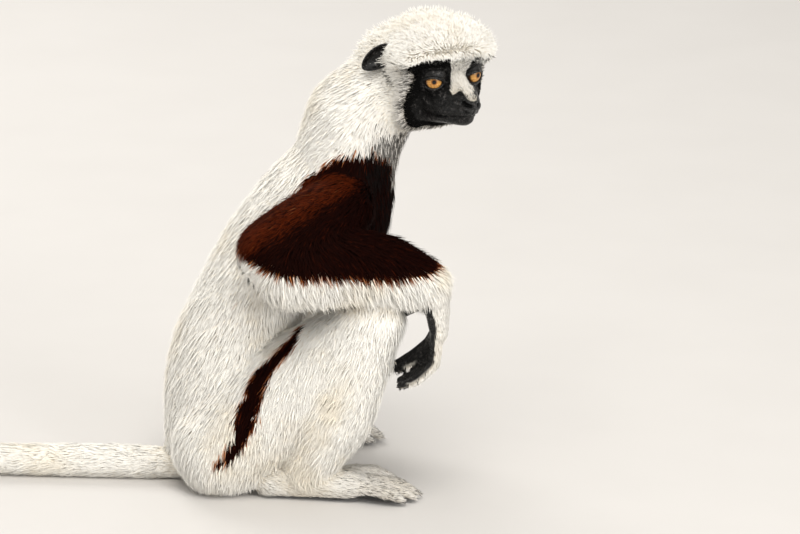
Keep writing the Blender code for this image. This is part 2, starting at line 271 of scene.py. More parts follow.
def modify(piece: Object, kind: str, **settings: object) -> None:
    """Puts one modifier, with its settings, into the piece's mesh.

    Args:
        piece: The piece.
        kind: The modifier's type.
        **settings: Its properties, by name.
    """
    modifier = piece.modifiers.new(kind, kind)
    for name, value in settings.items():
        setattr(modifier, name, value)
    bpy.context.view_layer.update()
    graph = bpy.context.evaluated_depsgraph_get()
    mesh = bpy.data.meshes.new_from_object(piece.evaluated_get(graph))
    piece.modifiers.clear()
    piece.data = mesh


def dress(piece: Object, material: Material, slot: str, *nodes: str) -> None:
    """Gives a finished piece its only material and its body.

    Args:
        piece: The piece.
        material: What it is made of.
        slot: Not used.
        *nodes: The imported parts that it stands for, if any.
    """
    piece.data.materials.clear()
    piece.data.materials.append(material)
    if nodes:
        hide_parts(*nodes)
    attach(piece, "root")


def box_centre(node: str) -> Vector:
    """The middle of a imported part's box."""
    low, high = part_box(node)
    return (low + high) / 2


def node_mesh(node: str) -> tuple[Array, Array]:
    """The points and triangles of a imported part."""
    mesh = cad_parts[node].data
    return mesh_points(mesh), mesh_triangles(mesh)


# ---- shader tools

class Shader:
    """A material or a node group under construction."""

    def __init__(self, tree: NodeTree) -> None:
        """Starts on this node tree."""
        self.tree = tree

    def node(self, kind: str, **settings: object) -> Node:
        """A new node of this kind, with its settings.

        Args:
            kind: Its type.
            **settings: Its properties, by name.

        Returns:
            The node.
        """
        made = self.tree.nodes.new(kind)
        for name, value in settings.items():
            setattr(made, name, value)
        return made

    def feed(self, socket: NodeSocket, value: object) -> None:
        """Links a socket to another, or sets it.

        Args:
            socket: The input.
            value: Another node's output, or a number or colour.
        """
        if isinstance(value, NodeSocket):
            self.tree.links.new(value, socket)
        else:
            socket.default_value = value

    def feed_all(self, node: Node, values: dict[str, object]) -> Node:
        """Links or sets several inputs of a node.

        Args:
            node: The node.
            values: What feeds its inputs, by name.

        Returns:
            The same node.
        """
        for name, value in values.items():
            self.feed(node.inputs[name], value)
        return node

    def result(self, kind: str, values: Iterable[object], **settings: object) -> NodeSocket:
        """The first output of a new node.

        Args:
            kind: Its type.
            values: Its inputs, in turn.
            **settings: Its properties, by name.

        Returns:
            The output.
        """
        made = self.node(kind, **settings)
        for socket, value in zip(made.inputs, values):
            self.feed(socket, value)
        return made.outputs[0]

    def maths(self, operation: str, *values: object) -> NodeSocket:
        """The result of a Math node."""
        return self.result("ShaderNodeMath", values, operation=operation)

    def mix(self, share: object, first: object, second: object, blend: str = "MIX") -> NodeSocket:
        """Two colours mixed, all of the second at a share of one.

        Args:
            share: How much of the second.
            first: One colour.
            second: The other colour.
            blend: How they mix.

        Returns:
            The mixed colour.
        """
        made = self.node("ShaderNodeMix", data_type="RGBA", blend_type=blend)
        for number, value in ((0, share), (6, first), (7, second)):
            self.feed(made.inputs[number], value)
        return made.outputs[2]

    def between(
        self, value: object, low: float, high: float, bottom: float = 0.0, top: float = 1.0
    ) -> NodeSocket:
        """The value mapped smoothly from low..high to bottom..top."""
        values = (value, low, high, bottom, top)
        return self.result("ShaderNodeMapRange", values, interpolation_type="SMOOTHSTEP")

    def noise(
        self, scale: float, detail: float = 2.0, vector: object = None, rough: float = 0.5
    ) -> NodeSocket:
        """Cloudy noise between 0 and 1, over the object's own space unless a vector is given.

        Args:
            scale: How fine it is.
            detail: How many finer layers it has.
            vector: Where it is read.
            rough: How strong the finer layers are.

        Returns:
            The noise.
        """
        if vector is None:
            vector = self.node("ShaderNodeTexCoord").outputs["Object"]
        inputs = {"Scale": scale, "Detail": detail, "Roughness": rough, "Vector": vector}
        return self.feed_all(self.node("ShaderNodeTexNoise"), inputs).outputs["Fac"]

    def attribute(self, name: str) -> NodeSocket:
        """A number that the mesh carries."""
        return self.node("ShaderNodeAttribute", attribute_name=name).outputs["Fac"]

    def group(self, tree: NodeTree, **inputs: object) -> Node:
        """A node group placed here, with its inputs fed by name."""
        return self.feed_all(self.node("ShaderNodeGroup", node_tree=tree), inputs)

    def bump(self, height: NodeSocket, strength: float, distance: float) -> NodeSocket:
        """The normal that this height gives."""
        inputs = {"Strength": strength, "Distance": distance, "Height": height}
        return self.feed_all(self.node("ShaderNodeBump"), inputs).outputs["Normal"]


def new_group(name: str, inputs: list[str], outputs: dict[str, str]) -> tuple[Shader, Node, Node]:
    """An empty shader group.

    Args:
        name: What the group is called.
        inputs: Names of its inputs, each a number.
        outputs: The kind of each output, Color or Float, by name.

    Returns:
        The group under construction, its input node and its output node.
    """
    tree = bpy.data.node_groups.new(name, "ShaderNodeTree")
    for label in inputs:
        tree.interface.new_socket(label, in_out="INPUT", socket_type="NodeSocketFloat")
    for label, kind in outputs.items():
        tree.interface.new_socket(label, in_out="OUTPUT", socket_type=f"NodeSocket{kind}")
    shader = Shader(tree)
    return shader, shader.node("NodeGroupInput"), shader.node("NodeGroupOutput")


def new_material(name: str) -> tuple[Material, Shader, Node]:
    """An empty material.

    Args:
        name: What it is called.

    Returns:
        The material, its node tools and its surface shader.
    """
    material = bpy.data.materials.new(name)
    material.use_nodes = True
    return material, Shader(material.node_tree), material.node_tree.nodes["Principled BSDF"]


# ---- finishes

@dataclass(frozen=True)
class HairColours:
    """Linear colours of the coat."""

    cream_tip: tuple = (0.955, 0.925, 0.855, 1)
    # Roots darker and warmer than tips: partly the hair's own tone, partly painted warm shade deep in the coat.
    cream_root: tuple = (0.86, 0.76, 0.59, 1)
    stain: tuple = (0.88, 0.78, 0.60, 1)
    grey_tip: tuple = (0.62, 0.58, 0.53, 1)
    grey_root: tuple = (0.22, 0.20, 0.18, 1)
    rust: tuple = (0.42, 0.15, 0.05, 1)
    # Painted light: the redder maroon of faces that look up, lit from above.
    maroon_lit: tuple = (0.095, 0.014, 0.0025, 1)
    maroon_tip: tuple = (0.009, 0.0015, 0.0007, 1)
    maroon_root: tuple = (0.005, 0.001, 0.0005, 1)
    black: tuple = (0.0042, 0.0039, 0.0036, 1)
    # Grey short hairs and painted sheen on the bare skin's wrinkles.
    worn: tuple = (0.095, 0.088, 0.084, 1)

    def group(self) -> NodeTree:
        """The shared group that turns markings into the colour of hair, or of the skin between it.

        Returns:
            The group.
        """
        shader, given, result = new_group(
            "hair_colour", ["Maroon", "Black", "Grey", "Along", "Seed"], {"Colour": "Color"}
        )
        along = given.outputs["Along"]
        # Cream hair darkens towards its roots: partly its own tone, partly painted shade deep in the coat.
        cream = shader.mix(shader.between(along, 0.0, 0.65), self.cream_root, self.cream_tip)
        cloud = shader.between(shader.noise(16.0, 3.0), 0.48, 0.72, 0.0, 0.45)
        cream = shader.mix(cloud, cream, self.stain, "MULTIPLY")
        grey = shader.mix(shader.between(along, 0.1, 0.8), self.grey_root, self.grey_tip)
        cream = shader.mix(given.outputs["Grey"], cream, grey)
        # Painted light: maroon a little below 1, on faces that look up, gives the lit redder maroon; 1 gives
        # the dark maroon of the shaded sides.
        deep = shader.between(given.outputs["Maroon"], 0.72, 0.98)
        maroon_painted_light = shader.mix(deep, self.maroon_lit, self.maroon_tip)
        maroon = shader.mix(shader.between(along, 0.25, 1.0), self.maroon_root, maroon_painted_light)
        rust = shader.mix(shader.between(given.outputs["Maroon"], 0.08, 0.40), cream, self.rust)
        colour = shader.mix(shader.between(given.outputs["Maroon"], 0.38, 0.66), rust, maroon)
        colour = shader.mix(given.outputs["Black"], colour, self.black)
        tone = shader.between(given.outputs["Seed"], 0.0, 1.0, 0.95, 1.03)
        shader.feed(result.inputs["Colour"], shader.mix(1.0, colour, tone, "MULTIPLY"))
        return shader.tree


def strand_group() -> NodeTree:
    """The shared group of fine hairs that run along a tuft: a height for bump, and a shade for colour.

    Returns:
        The group.
    """
    outputs = {"Height": "Float", "Shade": "Float"}
    shader, given, result = new_group("fine_strands", ["Across", "Along", "Seed"], outputs)
    scales = {"Across": 7.0, "Along": 0.9, "Seed": 57.0}
    place = [shader.maths("MULTIPLY", given.outputs[name], scale) for name, scale in scales.items()]
    strands = shader.noise(1.0, 2.0, shader.result("ShaderNodeCombineXYZ", place), 0.6)
    shader.feed_all(result, {"Height": strands, "Shade": shader.between(strands, 0.3, 0.68, 0.90, 1.03)})
    return shader.tree


def leather_group() -> NodeTree:
    """The shared group of bare skin: pores and wrinkles as a height, a patchy roughness, and patches of grey
    short hairs and painted sheen.

    Returns:
        The group.
    """
    outputs = {"Height": "Float", "Roughness": "Float", "Worn": "Float"}
    shader, _, result = new_group("bare_leather", [], outputs)
    where = shader.node("ShaderNodeTexCoord").outputs["Object"]
    pores = shader.node("ShaderNodeTexVoronoi", feature="DISTANCE_TO_EDGE")
    pores.inputs["Scale"].default_value = 1150.0
    shader.feed(pores.inputs["Vector"], where)
    wrinkles = shader.noise(380.0, 3.0, where, 0.62)
    pebbles = shader.between(pores.outputs["Distance"], 0.0, 0.35)
    shader.feed_all(result, {
        "Height": shader.maths("MULTIPLY_ADD", wrinkles, 1.4, pebbles),
        # Patches of grey short hairs and painted sheen that lighten the bare skin.
        "Worn": shader.between(shader.noise(330.0, 4.0, where, 0.7), 0.53, 0.70),
        "Roughness": shader.between(shader.noise(160.0, 2.0, where), 0.3, 0.7, 0.22, 0.40),
    })
    return shader.tree


@dataclass(frozen=True)
class Finishes:
    """Every material of the model."""

    hair: HairColours
    colour: NodeTree
    strands: NodeTree
    leather: NodeTree

    def skin(self) -> Material:
        """Skin: under the hair it has the hair's colour partway to the roots, darker than the tips, which
        paints shade into the gaps; where it is bare it is dark leather.

        Returns:
            The material.
        """
        material, shader, surface = new_material("bare_and_furred_skin")
        bare = shader.attribute("black")
        maroon, grey = shader.attribute("maroon"), shader.attribute("grey")
        seed = shader.noise(900.0, 1.0)
        # Painted shade: under the hair the skin takes the darker colour partway to the roots, so the gaps
        # between tufts look shaded.
        tinted = shader.group(self.colour, Maroon=maroon, Black=bare, Grey=grey, Along=0.38, Seed=seed)
        hide = shader.group(self.leather)
        # Grey short hairs and painted sheen, only on open bare skin.
        worn = shader.maths("MULTIPLY", shader.attribute("wear"), hide.outputs["Worn"])
        smoother = shader.maths("SUBTRACT", hide.outputs["Roughness"], 0.85)
        rough = shader.maths("MULTIPLY_ADD", bare, smoother, 0.85)
        wet = shader.attribute("wet")
        shader.feed_all(surface, {
            "Base Color": shader.mix(worn, tinted.outputs["Colour"], self.hair.worn),
            "Roughness": shader.between(wet, 0.0, 1.0, rough, 0.2),
            "Specular IOR Level": shader.between(wet, 0.0, 1.0, 0.16, 0.6),
            "Normal": shader.bump(hide.outputs["Height"], 1.0, 0.8 * MM),
        })
        return material

    def coat(self) -> Material:
        """Hair, from its roots to its tips.

        Returns:
            The material.
        """
        material, shader, surface = new_material("coat_hair")
        names = ("maroon", "black", "grey", "along", "seed")
        maroon, black, grey, along, seed = (shader.attribute(name) for name in names)
        tinted = shader.group(self.colour, Maroon=maroon, Black=black, Grey=grey, Along=along, Seed=seed)
        fine = shader.group(self.strands, Across=shader.attribute("across"), Along=along, Seed=seed)
        shader.feed_all(surface, {
            "Base Color": shader.mix(0.8, tinted.outputs["Colour"], fine.outputs["Shade"], "MULTIPLY"),
            "Normal": shader.bump(fine.outputs["Height"], 0.35, 0.2 * MM),
            "Roughness": 0.75,
            "Specular IOR Level": 0.025,
        })
        return material

    def lids(self) -> Material:
        """The moist black skin of the eyelids and ears.

        Returns:
            The material.
        """
        material, shader, surface = new_material("black_leather")
        hide = shader.group(self.leather)
        shader.feed_all(surface, {
            # Grey short hairs and painted sheen on the black lids and ears.
            "Base Color": shader.mix(hide.outputs["Worn"], self.hair.black, self.hair.worn),
            "Roughness": hide.outputs["Roughness"],
            "Normal": shader.bump(hide.outputs["Height"], 0.5, 0.2 * MM),
            "Specular IOR Level": 0.3,
        })
        return material

    def eye(self) -> Material:
        """A golden iris with a small dark pupil, under a clear wet surface.

        Returns:
            The material.
        """
        material, shader, surface = new_material("golden_eye")
        over, above = shader.attribute("iris_x"), shader.attribute("iris_y")
        squares = [shader.maths("POWER", offset, 2.0) for offset in (over, above)]
        radius = shader.maths("SQRT", shader.maths("ADD", *squares))
        place = [
            shader.maths("MULTIPLY", shader.maths("DIVIDE", offset, radius), 5.0)
            for offset in (over, above)
        ]
        place.append(shader.maths("MULTIPLY", radius, 0.45))
        fibres = shader.noise(1.0, 4.0, shader.result("ShaderNodeCombineXYZ", place), 0.65)
        gold = shader.mix(shader.between(fibres, 0.3, 0.7), (0.36, 0.15, 0.03, 1), (0.80, 0.42, 0.12, 1))
        gold = shader.mix(shader.between(radius, 1.9, 3.2), (0.30, 0.11, 0.02, 1), gold)
        # Painted shadow of the upper lid: the iris darkens towards its top.
        gold = shader.mix(1.0, gold, shader.between(above, -2.5, 3.4, 1.0, 0.42), "MULTIPLY")
        gold = shader.mix(shader.between(radius, 5.4, 6.6), gold, (0.05, 0.018, 0.006, 1))
        dark = shader.mix(shader.between(radius, 6.5, 7.3), gold, (0.035, 0.022, 0.016, 1))
        shader.feed_all(surface, {
            "Base Color": shader.mix(shader.between(radius, 1.6, 1.9), (0.002, 0.002, 0.002, 1), dark),
            "Roughness": shader.between(radius, 6.4, 7.2, 0.35, 0.25),
            "Coat Weight": 1.0,
            "Coat Roughness": 0.015,
            "Coat IOR": 1.34,
            "Specular IOR Level": 0.05,
        })
        return material

    def nail(self) -> Material:
        """Horn, pale at the quick and darker towards the tip.

        Returns:
            The material.
        """
        material, shader, surface = new_material("horn_nail")
        along = shader.attribute("along")
        horn = shader.mix(shader.between(along, 0.25, 0.95), (0.30, 0.25, 0.20, 1), (0.055, 0.045, 0.038, 1))
        grain = shader.between(shader.noise(1500.0, 2.0), 0.3, 0.7, 0.8, 1.1)
        shader.feed_all(surface, {
            "Base Color": shader.mix(1.0, horn, grain, "MULTIPLY"),
            "Roughness": shader.between(shader.noise(900.0), 0.3, 0.7, 0.25, 0.42),
        })
        return material

    def floor(self) -> Material:
        """Plain pale paper.

        Returns:
            The material.
        """
        material, shader, surface = new_material("pale_floor")
        tint = shader.mix(shader.noise(9.0, 2.0), (0.60, 0.575, 0.545, 1), (0.63, 0.605, 0.575, 1))
        shader.feed_all(surface, {"Base Color": tint, "Roughness": 0.9})
        return material


# ---- places on the body

FLESH = sorted(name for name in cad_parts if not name.startswith(("eye_", "ear_")))


def region_of(node: str) -> str:
    """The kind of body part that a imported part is, without its side or number."""
    return node.rstrip("0123456789").rstrip("_").removesuffix("_R").removesuffix("_L")


@dataclass(frozen=True)
class HeadPlace:
    """The head's own directions, and the point midway between the eyes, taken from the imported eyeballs."""

    middle: Array
    forward: Array
    left: Array

    @classmethod
    def from_eyes(cls) -> "HeadPlace":
        """Works the head's directions out from its two eyeballs.

        Returns:
            The head's place.
        """
        right_eye, left_eye = np.array(box_centre("eye_R")), np.array(box_centre("eye_L"))
        left = unit(left_eye - right_eye)
        return cls((right_eye + left_eye) / 2, np.cross(left, UP), left)

    def local(self, points: Array) -> Array:
        """Places as forward, left and up from the middle of the eyes, in millimetres."""
        away = points - self.middle
        return np.stack([away @ self.forward, away @ self.left, away @ UP], axis=-1) / MM

    @property
    def axes(self) -> Array:
        """Forward, left and up of the head, one row each."""
        return np.stack([self.forward, self.left, UP])

    def turned(self, forward: float, left: float, up: float) -> Array:
        """A direction given as forward, left and up of the head."""
        return self.forward * forward + self.left * left + UP * up

    def world(self, forward: float, left: float, up: float) -> Array:
        """The place this far forward, left and up of the middle of the eyes, in millimetres."""
        return self.middle + self.turned(forward, left, up) * MM


@dataclass(frozen=True)
class Limb:
    """The straight middle line of a long body part, from its upper end to its lower end."""

    start: Array
    end: Array

    @classmethod
    def of(cls, node: str, towards: Vector) -> "Limb":
        """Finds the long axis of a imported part, which runs towards this place.

        Args:
            node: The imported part.
            towards: A place beyond its lower end.

        Returns:
            Its middle line.
        """
        points, _ = node_mesh(node)
        centre = points.mean(axis=0)
        axis = np.linalg.svd(points - centre, full_matrices=False)[2][0]
        if axis @ (np.array(towards) - centre) < 0:
            axis = -axis
        reach = (points - centre) @ axis
        return cls(centre + axis * np.percentile(reach, 4), centre + axis * np.percentile(reach, 96))

    @property
    def direction(self) -> Array:
        """The way that the limb runs."""
        return unit(self.end - self.start)

    def share(self, points: Array) -> Array:
        """How far along the limb each point lies, from 0 to 1."""
        run = self.end - self.start
        return np.clip((points - self.start) @ run / (run @ run), 0.0, 1.0)

    def away(self, points: Array) -> Array:
        """From the middle line to each point."""
        run = self.end - self.start
        return points - (self.start + self.share(points)[:, None] * run)


@dataclass
class Body:
    """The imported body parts: which of them a place belongs to, and where their middle lines run."""

    nodes: list[str] = field(default_factory=lambda: list(FLESH))
    limbs: dict[str, Limb] = field(default_factory=dict)
    owner: list[int] = field(default_factory=list)
    tree: BVHTree | None = None

    def __post_init__(self) -> None:
        """Finds the limbs' middle lines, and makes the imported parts' surfaces ready for a search."""
        corners, faces = [], []
        for number, node in enumerate(self.nodes):
            at, triangles = node_mesh(node)
            faces += [tuple(t) for t in (triangles + len(corners)).tolist()]
            corners += [tuple(p) for p in at.tolist()]
            self.owner += [number] * len(triangles)
        self.tree = BVHTree.FromPolygons(corners, faces)
        follows = {"upper_arm": "forearm", "forearm": "hand", "thigh": "shin", "shin": "foot"}
        for side in Side:
            for region, next_region in follows.items():
                towards = box_centre(f"{next_region}_{side}")
                self.limbs[f"{region}_{side}"] = Limb.of(f"{region}_{side}", towards)
        tail = [box_centre(f"tail_{number}") for number in (1, 2, 3, 4)]
        for number, towards in enumerate([*tail[1:], tail[3] * 2 - tail[2]], start=1):
            self.limbs[f"tail_{number}"] = Limb.of(f"tail_{number}", towards)

    def nearest(self, points: Array) -> Array:
        """The number, in nodes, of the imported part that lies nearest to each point."""
        return np.array([self.owner[self.tree.find_nearest(place)[2]] for place in points.tolist()])

    def mask(self, labels: Array, *regions: str) -> Array:
        """Which points belong to parts of these regions."""
        wanted = [number for number, node in enumerate(self.nodes) if region_of(node) in regions]
        return np.isin(labels, wanted)

    def side_mask(self, labels: Array, side: Side, *regions: str) -> Array:
        """Which points belong to parts of these regions on one side."""
        wanted = [self.nodes.index(f"{region}_{side}") for region in regions]
        return np.isin(labels, wanted)


@dataclass(frozen=True)
class Fingers:
    """The middle lines of one hand's fingers, in millimetres from its lowest, rearmost corner."""

    side: Side
    places: tuple = (-1.5, -0.5, 0.5, 1.5)
    curls: tuple = (0.0, 0.25, 0.8, 1.0)
    spread: float = 7.4
    palm: tuple = ((34.0, 87.5), (39.0, 65.5))
    straight: tuple = ((40.0, 50.5), (30.0, 35.5), (17.0, 24.5), (3.5, 15.5))
    curled: tuple = ((40.0, 49.5), (38.0, 24.5), (25.0, 10.5), (8.5, 3.5))

    def corner(self) -> tuple[float, float, float]:
        """The rearmost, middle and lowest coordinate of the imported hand."""
        low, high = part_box(f"hand_{self.side}")
        return low.x, (low.y + high.y) / 2, low.z

    def route(self, curl: float) -> Array:
        """The line from the wrist to the tip of a finger that curls this much, as places ahead and up."""
        bent = np.array(self.straight) * (1 - curl) + np.array(self.curled) * curl
        return np.concatenate([np.array(self.palm), bent])

    def dark(self, points: Array, normals: Array) -> Array:
        """The black of the palm, of the insides of the fingers and of their tips.

        Args:
            points: Places on the hand.
            normals: The outward direction at each place.

        Returns:
            The share of black at each place.
        """
        rear, middle, lowest = self.corner()
        flat = (points[:, [0, 2]] - (rear, lowest)) / MM
        place = (points[:, 1] - middle) * self.side.value / (self.spread * MM)
        nearest = np.abs(place[:, None] - np.array(self.places)).argmin(axis=1)
        value = np.zeros(len(points))
        for number, curl in enumerate(self.curls):
            route = self.route(curl)
            _, along = polyline_distance(flat, route.tolist())
            run = unit(np.diff(route, axis=0))[np.minimum(along.astype(int), len(route) - 2)]
            inward = run[:, 1] * normals[:, 0] - run[:, 0] * normals[:, 2]
            inner = ramp(inward, -0.1, 0.3)
            tip = ramp(along, len(route) - 1.6, len(route) - 1.3) * ramp(inward, -0.95, -0.6)
            value = np.where(nearest == number, np.maximum(inner, tip), value)
        return value

    def nail_seats(self) -> Seats:
        """Where the nails start, which way they point and which way their backs face.

        Returns:
            The starts, the headings and the backs.
        """
        rear, middle, lowest = self.corner()
        starts, headings, backs = [], [], []
        for place, curl in zip(self.places, self.curls):
            route = self.route(curl)
            ahead, up = unit(route[-1] - route[-2])
            heading, back = np.array((ahead, 0.0, up)), np.array((-up, 0.0, ahead))
            tip = np.array((rear, middle + self.side.value * place * self.spread * MM, lowest))
            tip = tip + np.array((route[-1][0], 0.0, route[-1][1])) * MM
            starts.append(tip - heading * 2.5 * MM + back * 3.0 * MM)
            headings.append(heading)
            backs.append(back)
        return starts, headings, backs


# ---- markings

class Spots(NamedTuple):
    """Places on the body: where they are, which way is outward, and the number of each one's part."""

    points: Array
    normals: Array
    labels: Array


@dataclass
class Markings:
    """The pattern: black face and palms, maroon arms, breast and thigh stripes, greyish hands and cheeks."""

    head: HeadPlace
    body: Body
    brow: tuple = ((-40, -30, -15, 0, 15, 28, 40), (17.0, 19.0, 20.0, 21.0, 18.5, 13.5, 6.0))
    mask_rear: tuple = (
        (-46, -40, -35, -29, -24, -17, -11, -5, 1, 7, 14, 20),
        (-17.0, -17.0, -16.5, -16.0, -15.5, -12.0, -9.2, -7.6, -5.8, -4.2, 2.2, 6.5),
    )
    stripe_width: tuple = (
        (4, 8, 12, 14, 16, 18, 20, 22, 24, 28, 31, 33, 34.5),
        (4.8, 6.0, 8.2, 9.6, 11.2, 11.0, 6.4, 5.2, 4.7, 4.4, 4.1, 3.0, -2.0),
    )
    stripe_foot: tuple = ((0, 5, 8, 12), (-15.0, -15.5, -11.3, -9.8))
    # Painted shadow under the crown's overhanging fur, by the ear.
    ear_line: tuple = ((-16.0, 38.0, 21.3), (-9.0, 33.6, 20.0), (-2.0, 29.4, 19.4))
    ear_foot: tuple = ((-38.0, 43.0, 3.0), (-32.0, 42.0, -2.0), (-26.0, 40.0, -8.0))
    stripe_route: tuple = (
        (0.640, 0.930, 1.0), (0.560, 0.795, 2.0), (0.450, 0.670, 4.2), (0.388, 0.560, 7.4),
        (0.352, 0.450, 8.3), (0.322, 0.350, 7.0), (0.262, 0.255, 4.5), (0.203, 0.195, 1.0),
    )

    def mask_depth(self, local: Array) -> Array:
        """How far inside the black mask of the face each place is, in millimetres.

        Args:
            local: Places of the head, in millimetres.

        Returns:
            The depth at each, below 0 outside.
        """
        forward, left, up = local.T
        brow = np.interp(left, *self.brow)
        rear = np.interp(up, *self.mask_rear)
        return np.minimum(np.minimum(brow - up, forward - rear), up + 62.0)

    def nose_stripe(self, local: Array) -> Array:
        """How far inside the white stripe down the nose each place is, in millimetres.

        Args:
            local: Places of the head, in millimetres.

        Returns:
            The depth at each, below 0 outside.
        """
        forward, left, up = local.T
        half_width = np.interp(forward, *self.stripe_width)
        return np.minimum(half_width - np.abs(left), up - np.interp(np.abs(left), *self.stripe_foot))

    def moisture(self, local: Array) -> Array:
        """How moist the skin is: wet on the pad round the nostrils, and faintly glossy on the muzzle.

        Args:
            local: Places of the head, in millimetres.

        Returns:
            A share for each.
        """
        forward, left, up = local.T
        pad = ramp(forward, 24.5, 27.5) * ramp(np.abs(left), 10.5, 8.0) * ramp(up, -24.0, -21.5)
        return np.maximum(pad, 0.5 * ramp(forward, 2.0, 14.0) * ramp(up, -6.0, -12.0))

    def bareness(self, points: Array) -> Array:
        """How bare the mask is: furred at its edge and up to the brow, bare round the eyes and mouth."""
        local = self.head.local(points)
        return ramp(self.mask_depth(local), 3.0, 7.0) * ramp(local[:, 2], 14.0, 9.0)

    def black(self, spots: Spots) -> Array:
        """Bare or short-haired black skin: the face, the palms, the insides of the fingers and the soles.

        Args:
            spots: The places.

        Returns:
            A share for each.
        """
        points, normals, labels = spots
        local = self.head.local(points)
        face = ramp(self.mask_depth(local), -0.8, 0.8) * ramp(self.nose_stripe(local), 0.6, -0.6)
        value = np.where(self.body.mask(labels, "head", "muzzle", "jaw"), face, 0.0)
        for side in Side:
            hand = self.body.side_mask(labels, side, "hand")
            value[hand] = Fingers(side).dark(points[hand], normals[hand])
            value[self.body.side_mask(labels, side, "thumb")] = 1.0
        value = np.where(self.body.mask(labels, "foot"), ramp(normals[:, 2], -0.6, -0.85), value)
        return np.where(self.body.mask(labels, "great_toe"), ramp(normals[:, 2], 0.1, -0.35), value)

    def maroon(self, spots: Spots) -> Array:
        """The maroon patches, from 0 outside through rust at the edge to 1 inside; faces that look up on the
        upper arm and shoulder get less, which paints them a lit, redder maroon.

        Args:
            spots: The places.

        Returns:
            A share for each.
        """
        points, normals, labels = spots
        value = np.zeros(len(points))
        for side in Side:
            upper = self.body.limbs[f"upper_arm_{side}"]
            fore = self.body.limbs[f"forearm_{side}"]
            outward = normals[:, 1] * side.value
            away = upper.away(points) / MM
            reach = np.linalg.norm(away, axis=1)
            beyond = (points - fore.start) @ fore.direction / MM
            height = fore.away(points)[:, 2] / MM - np.interp(beyond, (-8, 8, 22), (14.0, 6.0, 0.0))
            # Painted light: faces that look up get less maroon, which the colour group paints as a lit, redder
            # maroon.
            painted_light_from_above = 1.0 - 0.3 * ramp(normals[:, 2] - 0.4 * normals[:, 0], 0.25, 0.85)
            outer = ramp(outward, -0.62, -0.35) * ramp(height, 4.5, 10.5) * painted_light_from_above
            shoulder = self.body.mask(labels, "chest", "neck")
            value = np.where(shoulder, np.maximum(value, outer * ramp(reach, 37, 31)), value)
            value = np.where(self.body.side_mask(labels, side, "upper_arm"), outer, value)
            edge = np.interp(outward, (-0.8, -0.2, 0.2), (16.0, 11.0, 7.0))
            top = ramp(height - edge, -2.5, 3.5) * ramp(fore.share(points), 0.98, 0.92)
            value = np.where(self.body.side_mask(labels, side, "forearm"), top, value)
            hand = self.body.side_mask(labels, side, "hand", "thumb")
            value = np.where(hand, 0.0, value)
            value = np.maximum(value, self.thigh_stripe(spots, side))
        return np.maximum(value, self.breast(spots))

    def breast(self, spots: Spots) -> Array:
        """The dark bib from the throat down the breast.

        Args:
            spots: The places.

        Returns:
            A share for each.
        """
        points, normals, labels = spots
        low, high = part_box("chest")
        height = (points[:, 2] - low.z) / (high.z - low.z)
        front = normals @ unit((0.95, 0.0, -0.25))
        bib = ramp(front, -0.05, 0.3) * ramp(height, 0.28, 0.46)
        return np.where(self.body.mask(labels, "chest"), bib, 0.0)

    def thigh_stripe(self, spots: Spots, side: Side) -> Array:
        """The stripe down the outside of one thigh.

        Args:
            spots: The places.
            side: Right or left.

        Returns:
            A share for each.
        """
        points, normals, labels = spots
        low, high = (np.array(corner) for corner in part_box(f"thigh_{side}"))
        size = high - low
        route = [(low[0] + u * size[0], low[2] + v * size[2]) for u, v, _ in self.stripe_route]
        gap, along = polyline_distance(points[:, [0, 2]], route)
        half_width = np.interp(along, range(len(route)), [w for _, _, w in self.stripe_route])
        stripe = ramp(gap / MM - half_width, 1.6, -1.8) * ramp(normals[:, 1] * side.value, -0.1, 0.2)
        beside = (points[:, 1] - (low[1] + high[1]) / 2) * side.value > -size[1] / 4
        return np.where(self.body.mask(labels, "thigh", "hips", "shin") & beside, stripe, 0.0)

    def grey(self, spots: Spots) -> Array:
        """Grizzled hair: hands and feet, the cheeks beside the mask, under the jaw, and the throat.

        Args:
            spots: The places.

        Returns:
            A share for each.
        """
        points, normals, labels = spots
        value = np.where(self.body.mask(labels, "hand", "thumb"), 0.38, 0.0)
        for side in Side:
            foot = self.body.side_mask(labels, side, "foot", "great_toe")
            value = np.where(foot, 0.2 + 0.4 * self.toe_share(points, side), value)
        local = self.head.local(points)
        depth = self.mask_depth(local)
        beside = ramp(depth, -15.0, -1.0) * ramp(depth, 3.0, 0.0) * ramp(local[:, 2], 16.0, 4.0)
        cheeks = self.body.mask(labels, "head", "jaw", "muzzle")
        nose = 0.42 * ramp(self.nose_stripe(local), -2.0, 0.0) * ramp(local[:, 2], 18.0, 8.0)
        under = self.below_jaw(local, normals)
        value = np.where(cheeks, np.maximum(np.maximum(nose, 0.7 * beside), under), value)
        throat = np.maximum(ramp(normals[:, 0], 0.1, 0.6) * ramp(normals[:, 2], 0.5, 0.0), under)
        return np.where(self.body.mask(labels, "neck"), np.maximum(value, throat), value)

    def below_jaw(self, local: Array, normals: Array) -> Array:
        """The underside of the jaw and the top of the throat."""
        facing_down = ramp(normals[:, 2], -0.1, -0.5)
        return facing_down * ramp(local[:, 0], -26.0, -14.0) * ramp(local[:, 2], -28.0, -36.0)

    def toe_share(self, points: Array, side: Side) -> Array:
        """How near each place is to the toes: 0 on the rear half of the foot, and 1 at the toes."""
        low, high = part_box(f"foot_{side}")
        return ramp((points[:, 0] - low.x) / (high.x - low.x), 0.4, 0.75)

